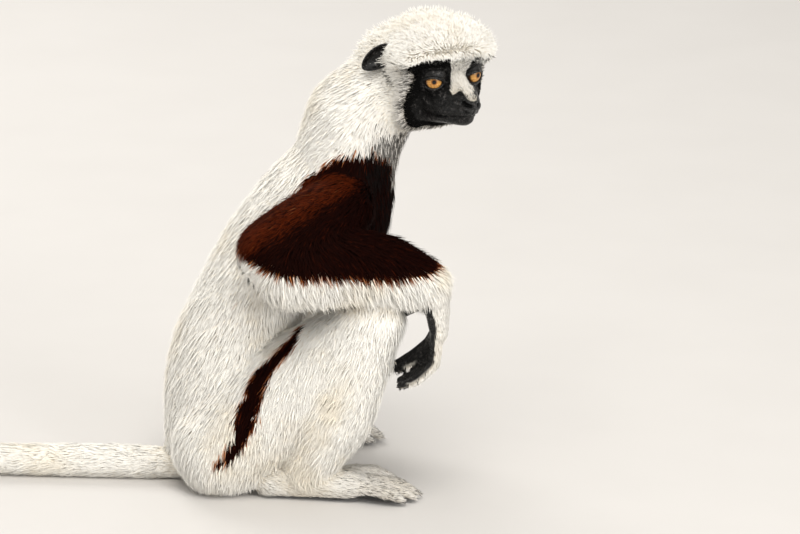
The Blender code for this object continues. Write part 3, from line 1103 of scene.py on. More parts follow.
    def dusk(self, spots: Spots) -> Array:
        """The share of dark hairs among the others, some of which paint shade.

        It lies beside the mask and nose stripe, by the ear, on the throat and breast, and on the toes; on the
        breast and along the crown's lower edge by the ear it is painted shade.

        Args:
            spots: The places.

        Returns:
            A share for each.
        """
        points, normals, labels = spots
        local = self.head.local(points)
        depth = self.mask_depth(local)
        beside = 0.5 * ramp(depth, -9.0, -0.5) * ramp(depth, 3.0, 0.0)
        beside = beside * ramp(local[:, 2], 18.0, 10.0) * ramp(local[:, 2], -38.0, -26.0)
        mirrored = local * (1.0, 0.0, 1.0) + np.abs(local) * (0.0, 1.0, 0.0)
        nose = self.nose_stripe(local)
        streaks = 0.4 * ramp(nose, 0.0, 1.0) * ramp(local[:, 2], 4.0, 12.0)
        frayed = 0.3 * ramp(nose, -0.5, 0.3) * ramp(nose, 2.6, 0.8) + 0.5 * ramp(local[:, 0], 28.0, 32.0)
        on_nose = np.maximum(streaks * ramp(depth, -1.0, 1.0), frayed * ramp(local[:, 2], 16.0, 8.0))
        value = np.maximum(beside, on_nose)
        # Painted shadow of dark hairs along the crown's lower edge by the ear, and dark hairs along a line
        # below the ear.
        for line in (self.ear_line, self.ear_foot):
            gap, _ = polyline_distance(mirrored, list(line))
            value = np.maximum(value, 0.6 * ramp(gap, 3.0, 0.8))
        value = np.where(self.body.mask(labels, "head", "jaw", "muzzle"), value, 0.0)
        under = self.below_jaw(local, normals)
        value = np.where(self.body.mask(labels, "head", "jaw"), np.maximum(value, 0.8 * under), value)
        throat = 0.75 * np.maximum(ramp(normals[:, 0], 0.15, 0.6) * ramp(normals[:, 2], 0.4, -0.1), under)
        value = np.where(self.body.mask(labels, "neck"), throat, value)
        for side in Side:
            toes = self.body.side_mask(labels, side, "foot")
            value = np.where(toes, 0.12 * self.toe_share(points, side), value)
        # Painted shade: half the bib's share of dark hairs darkens the breast.
        return np.where(self.body.mask(labels, "chest"), 0.5 * self.breast(spots), value)


# ---- how the coat grows

@dataclass(frozen=True)
class CoatStyle:
    """How hair grows on one region, in millimetres.

    Args:
        depth: From the skin to the outside of the coat.
        length: Of one tuft.
        width: Of one tuft, at its widest.
        spacing: Between neighbouring tufts.
        stray: How far the way it lies wanders, in radians.
    """

    depth: float
    length: float
    width: float
    spacing: float
    stray: float = 0.30


STYLES = {
    "head": CoatStyle(6.0, 8.2, 0.75, 0.76, 0.30),
    "muzzle": CoatStyle(0.9, 3.6, 0.5, 0.75),
    "jaw": CoatStyle(0.8, 4.0, 0.5, 0.9),
    "neck": CoatStyle(3.4, 14.5, 1.0, 1.1),
    "chest": CoatStyle(3.4, 16.0, 1.13, 1.27),
    "hips": CoatStyle(3.6, 17.5, 1.22, 1.38),
    "tail": CoatStyle(2.4, 13.0, 0.95, 1.08),
    "upper_arm": CoatStyle(3.8, 13.0, 1.0, 1.1),
    "forearm": CoatStyle(4.2, 13.5, 0.95, 1.05),
    "hand": CoatStyle(0.9, 5.5, 0.68, 0.93),
    "thumb": CoatStyle(0.6, 4.0, 0.55, 0.93),
    "thigh": CoatStyle(3.3, 15.5, 1.1, 1.22),
    "shin": CoatStyle(3.1, 14.5, 1.06, 1.2),
    "foot": CoatStyle(1.0, 7.0, 0.78, 1.05),
    "great_toe": CoatStyle(0.7, 5.0, 0.65, 1.0),
}


@dataclass
class Lay:
    """Which way the hair lies: a direction at each place, before it is pressed onto the surface."""

    head: HeadPlace
    body: Body
    brow: tuple = Markings.brow
    face_centre: tuple = (14.0, 0.0, -6.0)

    def on_head(self, points: Array) -> Array:
        """Away from the face: back over the crown and cheeks, but forward and down at the fringe.

        Args:
            points: Places.

        Returns:
            A direction for each.
        """
        local = self.head.local(points)
        away = unit(local - np.array(self.face_centre)) * (1.0, 1.0, 0.8) + np.array((-0.25, 0.0, 0.0))
        above_brow = local[:, 2] - np.interp(local[:, 1], *self.brow)
        fringe = ramp(local[:, 0], -10.0, 6.0) * ramp(above_brow, -4.0, 0.0) * ramp(above_brow, 10.0, 2.0)
        fringe = fringe[:, None]
        sideways = 0.2 * np.sign(local[:, 1]) * ramp(np.abs(local[:, 1]), 12.0, 32.0)
        droop = -0.4 - 0.5 * ramp(local[:, 1], 5.0, 30.0)
        over_brow = np.stack([np.full(len(local), 0.75), sideways, droop], axis=1)
        away = away * (1 - fringe) + over_brow * fringe
        return away @ self.head.axes

    def on_face(self, points: Array) -> Array:
        """Up the nose, and back along the muzzle."""
        away = unit(self.head.local(points) - (34.0, 0.0, -22.0))
        return away @ self.head.axes

    def at(self, spots: Spots) -> Array:
        """The direction at each point.

        Args:
            spots: The places.

        Returns:
            A direction for each.
        """
        points, normals, labels = spots
        value = np.tile((-0.45, 0.0, -0.9), (len(points), 1))
        value[self.body.mask(labels, "neck")] = (-0.75, 0.0, -0.65)
        belly = self.body.mask(labels, "chest", "hips", "neck") & (normals[:, 0] > 0.2)
        value[belly] = (0.1, 0.0, -1.0)
        on_head = self.body.mask(labels, "head")
        value[on_head] = self.on_head(points[on_head])
        on_face = self.body.mask(labels, "muzzle", "jaw")
        value[on_face] = self.on_face(points[on_face])
        for node, limb in self.body.limbs.items():
            here = labels == self.body.nodes.index(node)
            value[here] = limb.direction
        for side in Side:
            self.on_arm(value, normals, labels, side)
            legs = self.body.side_mask(labels, side, "thigh")
            shin = self.body.limbs[f"shin_{side}"].direction
            value[legs] = unit((-0.12, 0.0, -1.0) + 0.35 * shin)
            value[self.body.side_mask(labels, side, "foot", "great_toe")] = (1.0, 0.0, -0.12)
            value[self.body.side_mask(labels, side, "hand")] = (0.1, 0.0, -1.0)
            value[self.body.side_mask(labels, side, "thumb")] = (-0.8, 0.0, -0.5)
        return value

    def on_arm(self, value: Array, normals: Array, labels: Array, side: Side) -> None:
        """Along the forearm on top, and hanging down its sides and underneath.

        Args:
            value: The directions, to change.
            normals: Outward directions.
            labels: The number of each one's part.
            side: Right or left.
        """
        here = self.body.side_mask(labels, side, "forearm")
        hang = ramp(normals[here][:, 2], 0.75, 0.1)[:, None]
        along = self.body.limbs[f"forearm_{side}"].direction
        value[here] = unit(along * (1.0 - 0.55 * hang) - UP * 1.1 * hang)


# ---- skin

@dataclass
class Skin:
    """One skin over all the flesh, with the fields that the coat grows by."""

    head: HeadPlace
    body: Body
    markings: Markings
    lay: Lay
    voxel: float = 1.6 * MM
    swell: float = 0.35 * MM
    body_share: float = 0.24
    piece: Object | None = None
    fields: dict[str, Array] = field(default_factory=dict)

    def fuse(self) -> None:
        """Joins the flesh into one closed surface, without the hollows that are sealed inside it."""
        edit = bmesh.new()
        for node in self.body.nodes:
            edit.from_mesh(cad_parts[node].data)
        bmesh.ops.remove_doubles(edit, verts=edit.verts[:], dist=0.01 * MM)
        edit.normal_update()
        for vertex in edit.verts:
            vertex.co += vertex.normal * self.swell
        mesh = bpy.data.meshes.new("skin")
        edit.to_mesh(mesh)
        edit.free()
        self.piece = new_object("skin", mesh)
        modify(self.piece, "REMESH", mode="VOXEL", voxel_size=self.voxel)
        self.keep_outer()

    def keep_outer(self) -> None:
        """Drops every surface but the largest."""
        mesh = self.piece.data
        points, edges = mesh_points(mesh), mesh_edges(mesh)
        root = np.arange(len(points))
        while True:
            lower = np.minimum(root[edges[:, 0]], root[edges[:, 1]])
            joined = root.copy()
            np.minimum.at(joined, root[edges[:, 0]], lower)
            np.minimum.at(joined, root[edges[:, 1]], lower)
            while (joined != joined[joined]).any():
                joined = joined[joined]
            if (joined == root).all():
                break
            root = joined
        outer = np.bincount(root).argmax()
        quads = np.array([tuple(face.vertices) for face in mesh.polygons])
        quads = quads[root[quads[:, 0]] == outer]
        used, quads = np.unique(quads, return_inverse=True)
        fresh = bpy.data.meshes.new("skin")
        fresh.from_pydata(points[used], [], quads.reshape(-1, 4).tolist())
        self.piece.data = fresh

    def soften(self) -> None:
        """Rounds off the steps where parts meet, and leaves fingers, toes and face nearly as they are."""
        mesh = self.piece.data
        points, edges = mesh_points(mesh), mesh_edges(mesh)
        labels = self.body.nearest(points)
        fine = self.body.mask(labels, "hand", "thumb", "foot", "great_toe", "muzzle", "jaw")
        face = self.markings.mask_depth(self.head.local(points)) > -3.0
        fine |= self.body.mask(labels, "head") & face
        tail = self.body.mask(labels, "tail")
        share = np.where(fine, 0.10, np.where(tail, 0.3, 0.5))
        share = smoothed(share, edges, 6)
        points = smoothed(points, edges, 16, share)
        trunk = self.body.mask(labels, "hips", "chest", "neck", "thigh") & (points[:, 2] > 8 * MM)
        set_points(mesh, smoothed(points, edges, 45, 0.5 * smoothed(trunk.astype(float), edges, 10)))
        thin = self.piece.vertex_groups.new(name="thin")
        head = self.body.mask(labels, "head")
        for number in np.nonzero(~(fine | head))[0].tolist():
            thin.add([number], 1.0, "REPLACE")

    def thin_out(self) -> None:
        """Uses larger faces on the body, where the coat hides them."""
        modify(self.piece, "DECIMATE", ratio=self.body_share, vertex_group="thin")
        self.piece.vertex_groups.clear()

    def refine_face(self) -> None:
        """Uses smaller faces on the bare face."""
        edit = bmesh.new()
        edit.from_mesh(self.piece.data)
        points = np.array([vertex.co[:] for vertex in edit.verts])
        local = self.head.local(points)
        near = (self.markings.mask_depth(local) > -4.0) & (np.abs(local[:, 1]) < 42) & (local[:, 0] > -22)
        edges = [e for e in edit.edges if near[e.verts[0].index] and near[e.verts[1].index]]
        bmesh.ops.subdivide_edges(edit, edges=edges, cuts=2, use_grid_fill=True, smooth=0.4)
        bmesh.ops.triangulate(edit, faces=[face for face in edit.faces if len(face.verts) > 4])
        edit.to_mesh(self.piece.data)
        edit.free()

    def draw_in(self) -> None:
        """Works out the coat's fields on the outside of the coat, then draws the skin in below it."""
        mesh = self.piece.data
        points, triangles, edges = mesh_points(mesh), mesh_triangles(mesh), mesh_edges(mesh)
        labels = self.body.nearest(points)
        normals = point_normals(points, triangles)
        even = unit(smoothed(normals, edges, 8))
        names = [each.name for each in fields(CoatStyle)]
        table = np.array([
            [getattr(STYLES[region_of(node)], name) for name in names] for node in self.body.nodes
        ])[labels]
        spots, evened = Spots(points, normals, labels), Spots(points, even, labels)
        black = self.markings.black(spots)
        self.shape_head_coat(points, labels, table)
        self.shape_limb_coat(spots, table)
        face = self.body.mask(labels, "head", "muzzle", "jaw")
        bare = black * np.where(face, self.markings.bareness(points), 1.0)
        bald = bare * ~self.body.mask(labels, "foot", "great_toe")
        table[:, 0] = table[:, 0] * (1 - bald) + BALD_DEPTH * bald
        table = smoothed(table, edges, 7)
        lay = smoothed(unit(self.lay.at(spots)), edges, 14)
        self.fields = dict(zip(names, table.T * MM))
        self.fields["stray"] = self.fields["stray"] / MM
        brow = self.body.mask(labels, "head") * ramp(self.head.local(points)[:, 0], -30.0, -8.0)
        self.fields |= {
            "label": labels,
            "black": black,
            "bare": bare,
            "maroon": self.markings.maroon(evened),
            "grey": smoothed(self.markings.grey(evened), edges, 6),
            "dusk": self.markings.dusk(evened),
            "outside": points,
            "even": even,
            "lift": smoothed(0.35 + 0.4 * brow, edges, 12),
        }
        inner = points - even * self.fields["depth"][:, None]
        set_points(mesh, smoothed(inner, edges, 3, 0.4 * ramp(self.fields["depth"], 1.0 * MM, 4.0 * MM)))
        self.fields["lay"] = lay

    def shape_head_coat(self, points: Array, labels: Array, table: Array) -> None:
        """Long upright hair on the crown and fringe, short hair on the cheeks and in the mask.

        Args:
            points: Places.
            labels: The number of each one's part.
            table: The coat's style at each, to change.
        """
        local = self.head.local(points)
        inside = self.markings.mask_depth(local)
        on_head = self.body.mask(labels, "head")
        cheek = ramp(local[:, 2], 20.0, 16.0) * ramp(inside, -30.0, -6.0) * on_head
        within = ramp(inside, -0.5, 1.5) * on_head
        for share, short in ((cheek, (2.4, 7.5, 0.75, 0.80)), (within, (0.9, 3.0, 0.5, 0.7))):
            for column, value in enumerate(short):
                table[:, column] = table[:, column] * (1 - share) + value * share

    def shape_limb_coat(self, spots: Spots, table: Array) -> None:
        """Long hair below the forearm and on top of the foot's rear half.

        Args:
            spots: The places.
            table: The coat's style at each, to change.
        """
        points, normals, labels = spots
        below = ramp(normals[:, 2], 0.1, -0.5) * self.body.mask(labels, "forearm")
        table[:, 0] += 4.0 * below
        table[:, 1] += 10.0 * below
        for side in Side:
            rear = (1 - self.markings.toe_share(points, side)) * self.body.side_mask(labels, side, "foot")
            rear = rear * ramp(normals[:, 2], -0.5, 0.0)
            table[:, 0] += 2.0 * rear
            table[:, 1] += 4.0 * rear

    def finish(self, material: Material, sculpt: "FaceSculpt") -> None:
        """Sculpts the face, writes the markings on the skin and dresses it.

        Args:
            material: What it is made of.
            sculpt: The strokes that cut the face.
        """
        mesh = self.piece.data
        # Grey hairs and painted sheen stay out of the nostrils and the mouth line, so these hollows are pure
        # black: painted shade.
        open_skin = self.fields["black"] * (1 - sculpt.apply(mesh))
        points, triangles = mesh_points(mesh), mesh_triangles(mesh)
        self.fields["normal"] = point_normals(points, triangles)
        for name in ("maroon", "black", "grey"):
            set_attribute(mesh, name, self.fields[name])
        set_attribute(mesh, "wear", open_skin)
        set_attribute(mesh, "wet", self.markings.moisture(self.head.local(points)) * open_skin)
        mesh.shade_smooth()
        dress(self.piece, material, "bare_skin", *self.body.nodes)


# ---- the face

@dataclass
class FaceSculpt:
    """Strokes that cut the mouth, nostrils and folds into the bare face, in millimetres of the head."""

    head: HeadPlace
    eye_radius: float = 8.4
    mouth: tuple = ((30.0, 0.0, -26.3), (25.0, 7.0, -26.6), (15.0, 12.0, -27.8), (3.6, 17.0, -29.6))
    nostril: tuple = ((33.5, 3.8, -17.2), (31.6, 6.4, -16.2), (28.8, 7.8, -14.4))
    philtrum: tuple = ((35.0, 0.0, -20.0), (32.5, 0.0, -23.0), (30.0, 0.0, -26.3))
    pad_edge: tuple = (
        (26.0, 0.0, -10.8), (26.5, 5.0, -12.0), (26.5, 8.4, -15.6), (28.0, 8.0, -20.5), (31.5, 4.0, -23.2)
    )
    folds: tuple = (
        ((22.0, 9.5, -14.0), (14.0, 13.5, -18.0), (8.0, 17.5, -24.0)),
        ((0.0, 20.0, -25.0), (-3.0, 21.5, -31.0), (-3.0, 20.5, -37.0)),
        ((6.0, 15.0, -12.0), (2.0, 21.0, -13.5), (-4.0, 27.0, -10.0)),
    )

    def apply(self, mesh: Mesh) -> Array:
        """Cuts every stroke into the skin.

        Args:
            mesh: The skin.

        Returns:
            How far each point of it lies in a nostril or in the line of the mouth, from 0 to 1.
        """
        points, triangles = mesh_points(mesh), mesh_triangles(mesh)
        normals = point_normals(points, triangles)
        local = self.head.local(points)
        surface = BVHTree.FromPolygons(local.tolist(), triangles.tolist())
        aside = np.abs(local[:, 1]) < 45
        near = np.nonzero(aside & (local[:, 0] > -30) & (local[:, 2] > -60) & (local[:, 2] < 40))[0]
        mirrored = local[near].copy()
        mirrored[:, 1] = np.abs(mirrored[:, 1])
        change = self.stroke(surface, mirrored, self.mouth, 0.85, -1.7)
        change += self.stroke(surface, mirrored, self.nostril, 1.8, -4.2)
        hollow = np.zeros(len(points))
        hollow[near] = ramp(-change, 0.6, 1.4)
        strokes = [
            (self.beside(self.nostril, (-0.4, 1.4, -2.9)), 1.2, 0.8),
            (self.philtrum, 0.5, -0.9),
            (self.pad_edge, 0.8, -0.7),
        ]
        for fold in self.folds:
            strokes += [(fold, 1.0, -0.9), (self.beside(fold, (1.6, -0.6, 1.6)), 1.4, 0.45)]
        strokes += [(self.beside(self.mouth, (0.0, 0.0, rise)), 1.2, 0.6) for rise in (2.0, -2.0)]
        for route, width, height in strokes:
            change += self.stroke(surface, mirrored, route, width, height)
        points[near] = self.clear_eyes(points[near] + normals[near] * (change[:, None] * MM))
        set_points(mesh, points)
        return hollow

    def beside(self, route: tuple, shift: tuple) -> tuple:
        """The same route a little aside."""
        return tuple(tuple(a + b for a, b in zip(corner, shift)) for corner in route)

    def stroke(self, surface: BVHTree, places: Array, route: tuple, width: float, height: float) -> Array:
        """How far a rounded stroke along a route reaches in or out at each place.

        Args:
            surface: The skin, in millimetres of the head.
            places: Points of the skin, in the same millimetres.
            route: The corners of the stroke, which is laid onto the skin in short steps.
            width: Half the stroke's width.
            height: How far it reaches out along its middle line, below 0 for a groove.

        Returns:
            The stroke's height at each place.
        """
        corners = np.array(route, float)
        steps = np.linspace(0, len(corners) - 1, 6 * (len(corners) - 1) + 1)
        line = np.stack([np.interp(steps, range(len(corners)), column) for column in corners.T], axis=1)
        laid = [tuple(surface.find_nearest(Vector(place))[0]) for place in line]
        gap, _ = polyline_distance(places, laid)
        return height * np.exp(-((gap / width) ** 2))

    def clear_eyes(self, points: Array) -> Array:
        """Keeps the skin just outside the eyeballs.

        Args:
            points: Places.

        Returns:
            The same places, each clear of the eyeballs.
        """
        for side in Side:
            centre = np.array(box_centre(f"eye_{side}"))
            away = points - centre
            reach = np.linalg.norm(away, axis=1)
            least = (self.eye_radius + 0.35) * MM
            inside = reach < least
            points[inside] = centre + unit(away[inside]) * least
        return points


@dataclass
class Eye:
    """One eyeball with its lids."""

    head: HeadPlace
    side: Side
    toe_out: float = math.radians(22)
    glance: float = math.radians(8)
    half_width: float = 8.2
    shift: float = 0.8
    open_above: float = 4.4
    open_below: float = 5.2
    rings: int = 26
    segments: int = 48
    lid_steps: int = 60
    lid_profile: tuple = (
        (0.965, 0.12), (0.985, 0.75), (1.03, 1.15), (1.12, 1.45), (1.26, 1.55), (1.38, 1.05), (1.50, 1.30)
    )

    def __post_init__(self) -> None:
        """Takes the eyeball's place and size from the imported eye."""
        low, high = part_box(f"eye_{self.side}")
        self.centre = np.array((low + high) / 2)
        self.radius = float(high.z - low.z) / 2
        turn = self.side.value * self.toe_out - self.glance
        self.gaze = unit(self.head.turned(math.cos(turn), math.sin(turn), -0.02))
        self.across = unit(np.cross(UP, self.gaze)) * self.side.value
        self.above = np.cross(self.gaze, self.across) * self.side.value

    def place(self, radius: float, across: float, above: float) -> Array:
        """The point of a ball of this radius that lies this far across and above its gaze, in millimetres."""
        return self.ahead(math.sqrt(max(radius**2 - across**2 - above**2, 0.0)), across, above)

    def ahead(self, forward: float, across: float, above: float) -> Array:
        """The point this far forward along the gaze, across it and above it, in millimetres."""
        return self.centre + (self.gaze * forward + self.across * across + self.above * above) * MM

    def eyeball(self, material: Material) -> Object:
        """The eyeball, with a cornea that bulges slightly and the iris's own coordinates.

        Args:
            material: What it is made of.

        Returns:
            The eyeball.
        """
        points, offsets = [], []
        radius = self.radius / MM
        for ring in range(1, self.rings):
            polar = math.pi * (ring / self.rings) ** 1.35
            for step in range(self.segments):
                turn = 2 * math.pi * step / self.segments
                bulge = 0.35 * math.exp(-((polar / 0.55) ** 4))
                reach = (radius + bulge) * math.sin(polar)
                across, above = reach * math.cos(turn), reach * math.sin(turn)
                forward = (radius + bulge) * math.cos(polar)
                points.append(self.ahead(forward, across, above))
                offsets.append((across, above, forward))
        points += [self.centre + self.gaze * (radius + 0.35) * MM, self.centre - self.gaze * self.radius]
        offsets += [(0.0, 0.0, radius), (0.0, 0.0, -radius)]
        faces = ring_faces(self.rings - 1, self.segments)
        front, back, last = len(points) - 2, len(points) - 1, (self.rings - 2) * self.segments
        for step in range(self.segments):
            after = (step + 1) % self.segments
            faces += [(front, step, after), (back, last + after, last + step)]
        piece = solid(f"eyeball_{self.side}", np.array(points), faces)
        face_outwards(piece)
        offsets = np.array(offsets)
        behind = np.where(offsets[:, 2] < 0, 10.0, 0.0)
        set_attribute(piece.data, "iris_x", offsets[:, 0] + behind)
        set_attribute(piece.data, "iris_y", offsets[:, 1])
        dress(piece, material, "eyes", f"eye_{self.side}")
        return piece

    def opening(self, turn: float) -> tuple[float, float]:
        """The edge of the lids at this angle: an almond, lower at the inner corner.

        Args:
            turn: The angle round it.

        Returns:
            How far across and above, in millimetres.
        """
        across, above = math.cos(turn), math.sin(turn)
        height = self.open_above if above > 0 else self.open_below
        inner = max(0.0, -across) ** 4
        arch = math.copysign(abs(above) ** 1.3, above)
        aside = -self.side.value * self.shift
        return across * self.half_width + aside, arch * height - 1.2 - 0.4 * inner

    def lids(self, skin: BVHTree, material: Material) -> Object:
        """Both lids in one ring: a moist edge, a swelling, a crease, and a hem sunk into the skin.

        Args:
            skin: The skin's surface.
            material: What it is made of.

        Returns:
            The lids.
        """
        radius = self.radius / MM
        profile = self.lid_profile
        rows = [[] for _ in range(len(profile) + 4)]
        for step in range(self.lid_steps):
            turn = 2 * math.pi * step / self.lid_steps
            across, above = self.opening(turn)
            upper = max(0.0, math.sin(turn))
            for row, (widen, proud) in enumerate(profile):
                crease = -0.9 * upper if row == 5 else 0.0
                rows[row].append(self.place(radius + proud + crease, across * widen, above * widen))
            hem = self.hem_point(skin, turn)
            start = rows[len(profile) - 1][-1]
            lean = unit(start - rows[len(profile) - 3][-1])
            run = np.linalg.norm(hem - start)
            handle = start + lean * run * 0.4
            for number, share in enumerate((0.3, 0.6, 0.85, 1.0)):
                bent = (1 - share) ** 2 * start + 2 * share * (1 - share) * handle + share**2 * hem
                rows[len(profile) + number].append(bent)
        points = np.array([point for row in rows for point in row])
        piece = solid(f"eyelids_{self.side}", points, ring_faces(len(rows), self.lid_steps))
        inward = -1.0 if self.faces_out(piece) else 1.0
        modify(piece, "SOLIDIFY", thickness=0.35 * MM, offset=inward)
        face_outwards(piece)
        piece.data.shade_smooth()
        dress(piece, material, "bare_skin")
        return piece

    def faces_out(self, piece: Object) -> bool:
        """Whether the faces of an open ring look away from the eyeball."""
        face = piece.data.polygons[len(piece.data.polygons) // 2]
        return float(np.array(face.normal) @ (np.array(face.center) - self.centre)) > 0

    def hem_point(self, skin: BVHTree, turn: float) -> Array:
        """Where the lid's outer edge dives just under the skin, at this angle.

        Args:
            skin: The skin's surface.
            turn: The angle round it.

        Returns:
            The place.
        """
        reach = 11.6 + 0.5 * abs(math.sin(turn))
        across, above = reach * math.cos(turn), reach * math.sin(turn)
        far = self.ahead(25.0, across, above)
        hit = skin.ray_cast(Vector(far), Vector(-self.gaze))[0]
        if hit is None:
            hit = skin.find_nearest(Vector(far - self.gaze * 20 * MM))[0]
        return np.array(hit) - np.array(self.gaze) * 0.7 * MM


def ring_faces(rows: int, steps: int) -> list[tuple[int, ...]]:
    """Four-sided faces between rings of points.

    Args:
        rows: How many rings.
        steps: How many points each ring has.

    Returns:
        Four point numbers for each face.
    """
    corners = ((0, 0), (0, 1), (1, 1), (1, 0))
    return [
        tuple((row + down) * steps + (step + along) % steps for down, along in corners)
        for row in range(rows - 1)
        for step in range(steps)
    ]


def face_outwards(piece: Object) -> None:
    """Turns the faces of a closed piece outwards.

    Args:
        piece: The piece.
    """
    edit = bmesh.new()
    edit.from_mesh(piece.data)
    bmesh.ops.recalc_face_normals(edit, faces=edit.faces[:])
    edit.to_mesh(piece.data)
    edit.free()


@dataclass
class Ear:
    """A thin black ear: a leaf-shaped cup with a rolled rim and a fold inside."""

    head: HeadPlace
    side: Side
    middle: tuple = (-36.5, 47.5, 15.0)
    sweep: float = math.radians(37)
    lean: float = math.radians(54)
    half_height: float = 17.0 * MM
    half_width: float = 9.0 * MM
    depth: float = 7.5 * MM
    rings: int = 14
    segments: int = 44
    wall: float = 1.5

    def __post_init__(self) -> None:
        """Works out the ear's own directions: where it faces, and how its top leans towards the face."""
        outward = self.side.value
        forward, aside, up = self.middle
        self.facing = self.head.turned(math.cos(self.sweep), outward * math.sin(self.sweep), 0.0)
        inward = self.head.turned(math.sin(self.sweep), -outward * math.cos(self.sweep), 0.0)
        self.upward = UP * math.cos(self.lean) + inward * math.sin(self.lean)
        self.across = np.cross(self.upward, self.facing)
        self.rim_middle = self.head.world(forward, outward * aside, up)

    def point(self, share: float, turn: float) -> Array:
        """A place on the cup: share runs from its bottom to its rim, and turn round it.

        Args:
            share: How far from the bottom to the rim.
            turn: The angle round it.

        Returns:
            The place.
        """
        height, width = math.cos(turn), math.sin(turn)
        leaf = 1.0 - 0.10 * height - 0.12 * abs(width) * (height < 0)
        flare = share**0.8
        roll = 1.0 - 0.05 * ramp(np.array(share), 0.9, 1.0)
        sink = (1 - share**2) ** 0.8 - 0.10 * math.exp(-(((share - 0.86) / 0.08) ** 2))
        fold = 0.10 * math.exp(-(((share - 0.55) / 0.12) ** 2)) * max(0.0, height)
        up = self.half_height * height * flare * roll * leaf
        over = self.half_width * width * flare * roll
        rim = self.rim_middle + self.upward * up + self.across * over
        return rim - self.facing * self.depth * (0.92 * sink - fold)

    def build(self, material: Material) -> Object:
        """Makes the ear.

        Args:
            material: What it is made of.

        Returns:
            The ear.
        """
        points = [
            self.point(max(ring / self.rings, 0.02), 2 * math.pi * step / self.segments)
            for ring in range(self.rings + 1)
            for step in range(self.segments)
        ]
        points.append(self.point(0.0, 0.0))
        faces = ring_faces(self.rings + 1, self.segments)
        faces += [(len(points) - 1, (step + 1) % self.segments, step) for step in range(self.segments)]
        piece = solid(f"ear_cup_{self.side}", np.array(points), faces)
        modify(piece, "SOLIDIFY", thickness=self.wall * MM, offset=0.0)
        modify(piece, "SUBSURF", levels=1, render_levels=1)
        face_outwards(piece)
        piece.data.shade_smooth()
        dress(piece, material, "bare_skin", f"ear_{self.side}")
        return piece


# ---- nails

@dataclass
class Nails:
    """The narrow, arched nails of one hand or foot, joined as one piece."""

    name: str
    bases: list[Array]
    headings: list[Array]
    backs: list[Array]
    length: float = 7.5
    width: float = 3.8
    rows: int = 7
    columns: int = 7

    def plate(self, base: Array, heading: Array, back: Array) -> Array:
        """The points of one nail: an arched strip that bends down and narrows to its tip, then its underside.

        Args:
            base: Where it starts.
            heading: Which way it points.
            back: Which way its back faces.

        Returns:
            The upper points, then the lower ones.
        """
        back = unit(back - heading * (back @ heading))
        side = np.cross(heading, back)
        top, under = [], []
        for row in range(self.rows):
            along = row / (self.rows - 1)
            half = self.width / 2 * (1 - 0.75 * along**2.2)
            drop = 1.9 * along**2
            for column in range(self.columns):
                across = 2 * column / (self.columns - 1) - 1
                arch = (1 - across**2) * 0.85 * (1 - 0.4 * along)
                at = base + (heading * self.length * along + side * half * across + back * (arch - drop)) * MM
                top.append(at)
                under.append(at - back * (0.7 * (1 - 0.5 * along)) * MM)
        return np.array(top + under)

    def build(self, material: Material) -> Object:
        """Makes the nails.

        Args:
            material: What it is made of.

        Returns:
            The nails.
        """
        points, faces, along = [], [], []
        size = self.rows * self.columns
        for base, heading, back in zip(self.bases, self.headings, self.backs):
            first = sum(len(p) for p in points)
            points.append(self.plate(base, heading, back))
            along.append(np.tile(np.repeat(np.arange(self.rows) / (self.rows - 1), self.columns), 2))
            faces += [tuple(first + corner for corner in face) for face in self.faces(size)]
        piece = solid(self.name, np.concatenate(points), faces)
        set_attribute(piece.data, "along", np.concatenate(along))
        face_outwards(piece)
        dress(piece, material, "nails")
        return piece

    def faces(self, size: int) -> list[tuple[int, ...]]:
        """The faces of one nail: top, underside and the edge between them.

        Args:
            size: How many points its upper side has.

        Returns:
            The point numbers of each face.
        """
        made = []
        for row in range(self.rows - 1):
            for column in range(self.columns - 1):
                a = row * self.columns + column
                b, c, d = a + 1, a + self.columns + 1, a + self.columns
                made += [(a, b, c, d), (size + d, size + c, size + b, size + a)]
        last = (self.rows - 1) * self.columns
        rim = [*range(self.columns - 1), *range(self.columns - 1, last + self.columns - 1, self.columns)]
        rim += [*range(last + self.columns - 1, last, -1), *range(last, 0, -self.columns)]
        made += [(b, a, size + a, size + b) for a, b in zip(rim, rim[1:] + rim[:1])]
        return made


def toe_seats(side: Side) -> Seats:
    """Where the nails of one foot's four toes start, which way they point and which way their backs face.

    Args:
        side: Right or left.

    Returns:
        The starts, the headings and the backs.
    """
    low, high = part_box(f"foot_{side}")
    middle = (low.y + high.y) / 2
    heading, back = unit((0.87, 0.0, -0.45)), unit((0.45, 0.0, 0.87))
    starts = [
        np.array((high.x - (7.0 + short) * MM, middle - side.value * place * 10.2 * MM, 9.5 * MM))
        for place, short in zip((-1.5, -0.5, 0.5, 1.5), (11.0, 3.0, 0.0, 7.0))
    ]
    return starts, [heading] * 4, [back] * 4


def great_toe_seat(side: Side) -> Seats:
    """Where the great toe's nail starts, which way it points and which way its back faces.

    Args:
        side: Right or left.

    Returns:
        The start, the heading and the back, each as a list of one.
    """
    low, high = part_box(f"great_toe_{side}")
    start = np.array((high.x - 8.0 * MM, (low.y + high.y) / 2 - side.value * 5.0 * MM, 16.0 * MM))
    return [start], [unit((0.9, 0.0, -0.45))], [unit((0.45, 0.0, 0.9))]


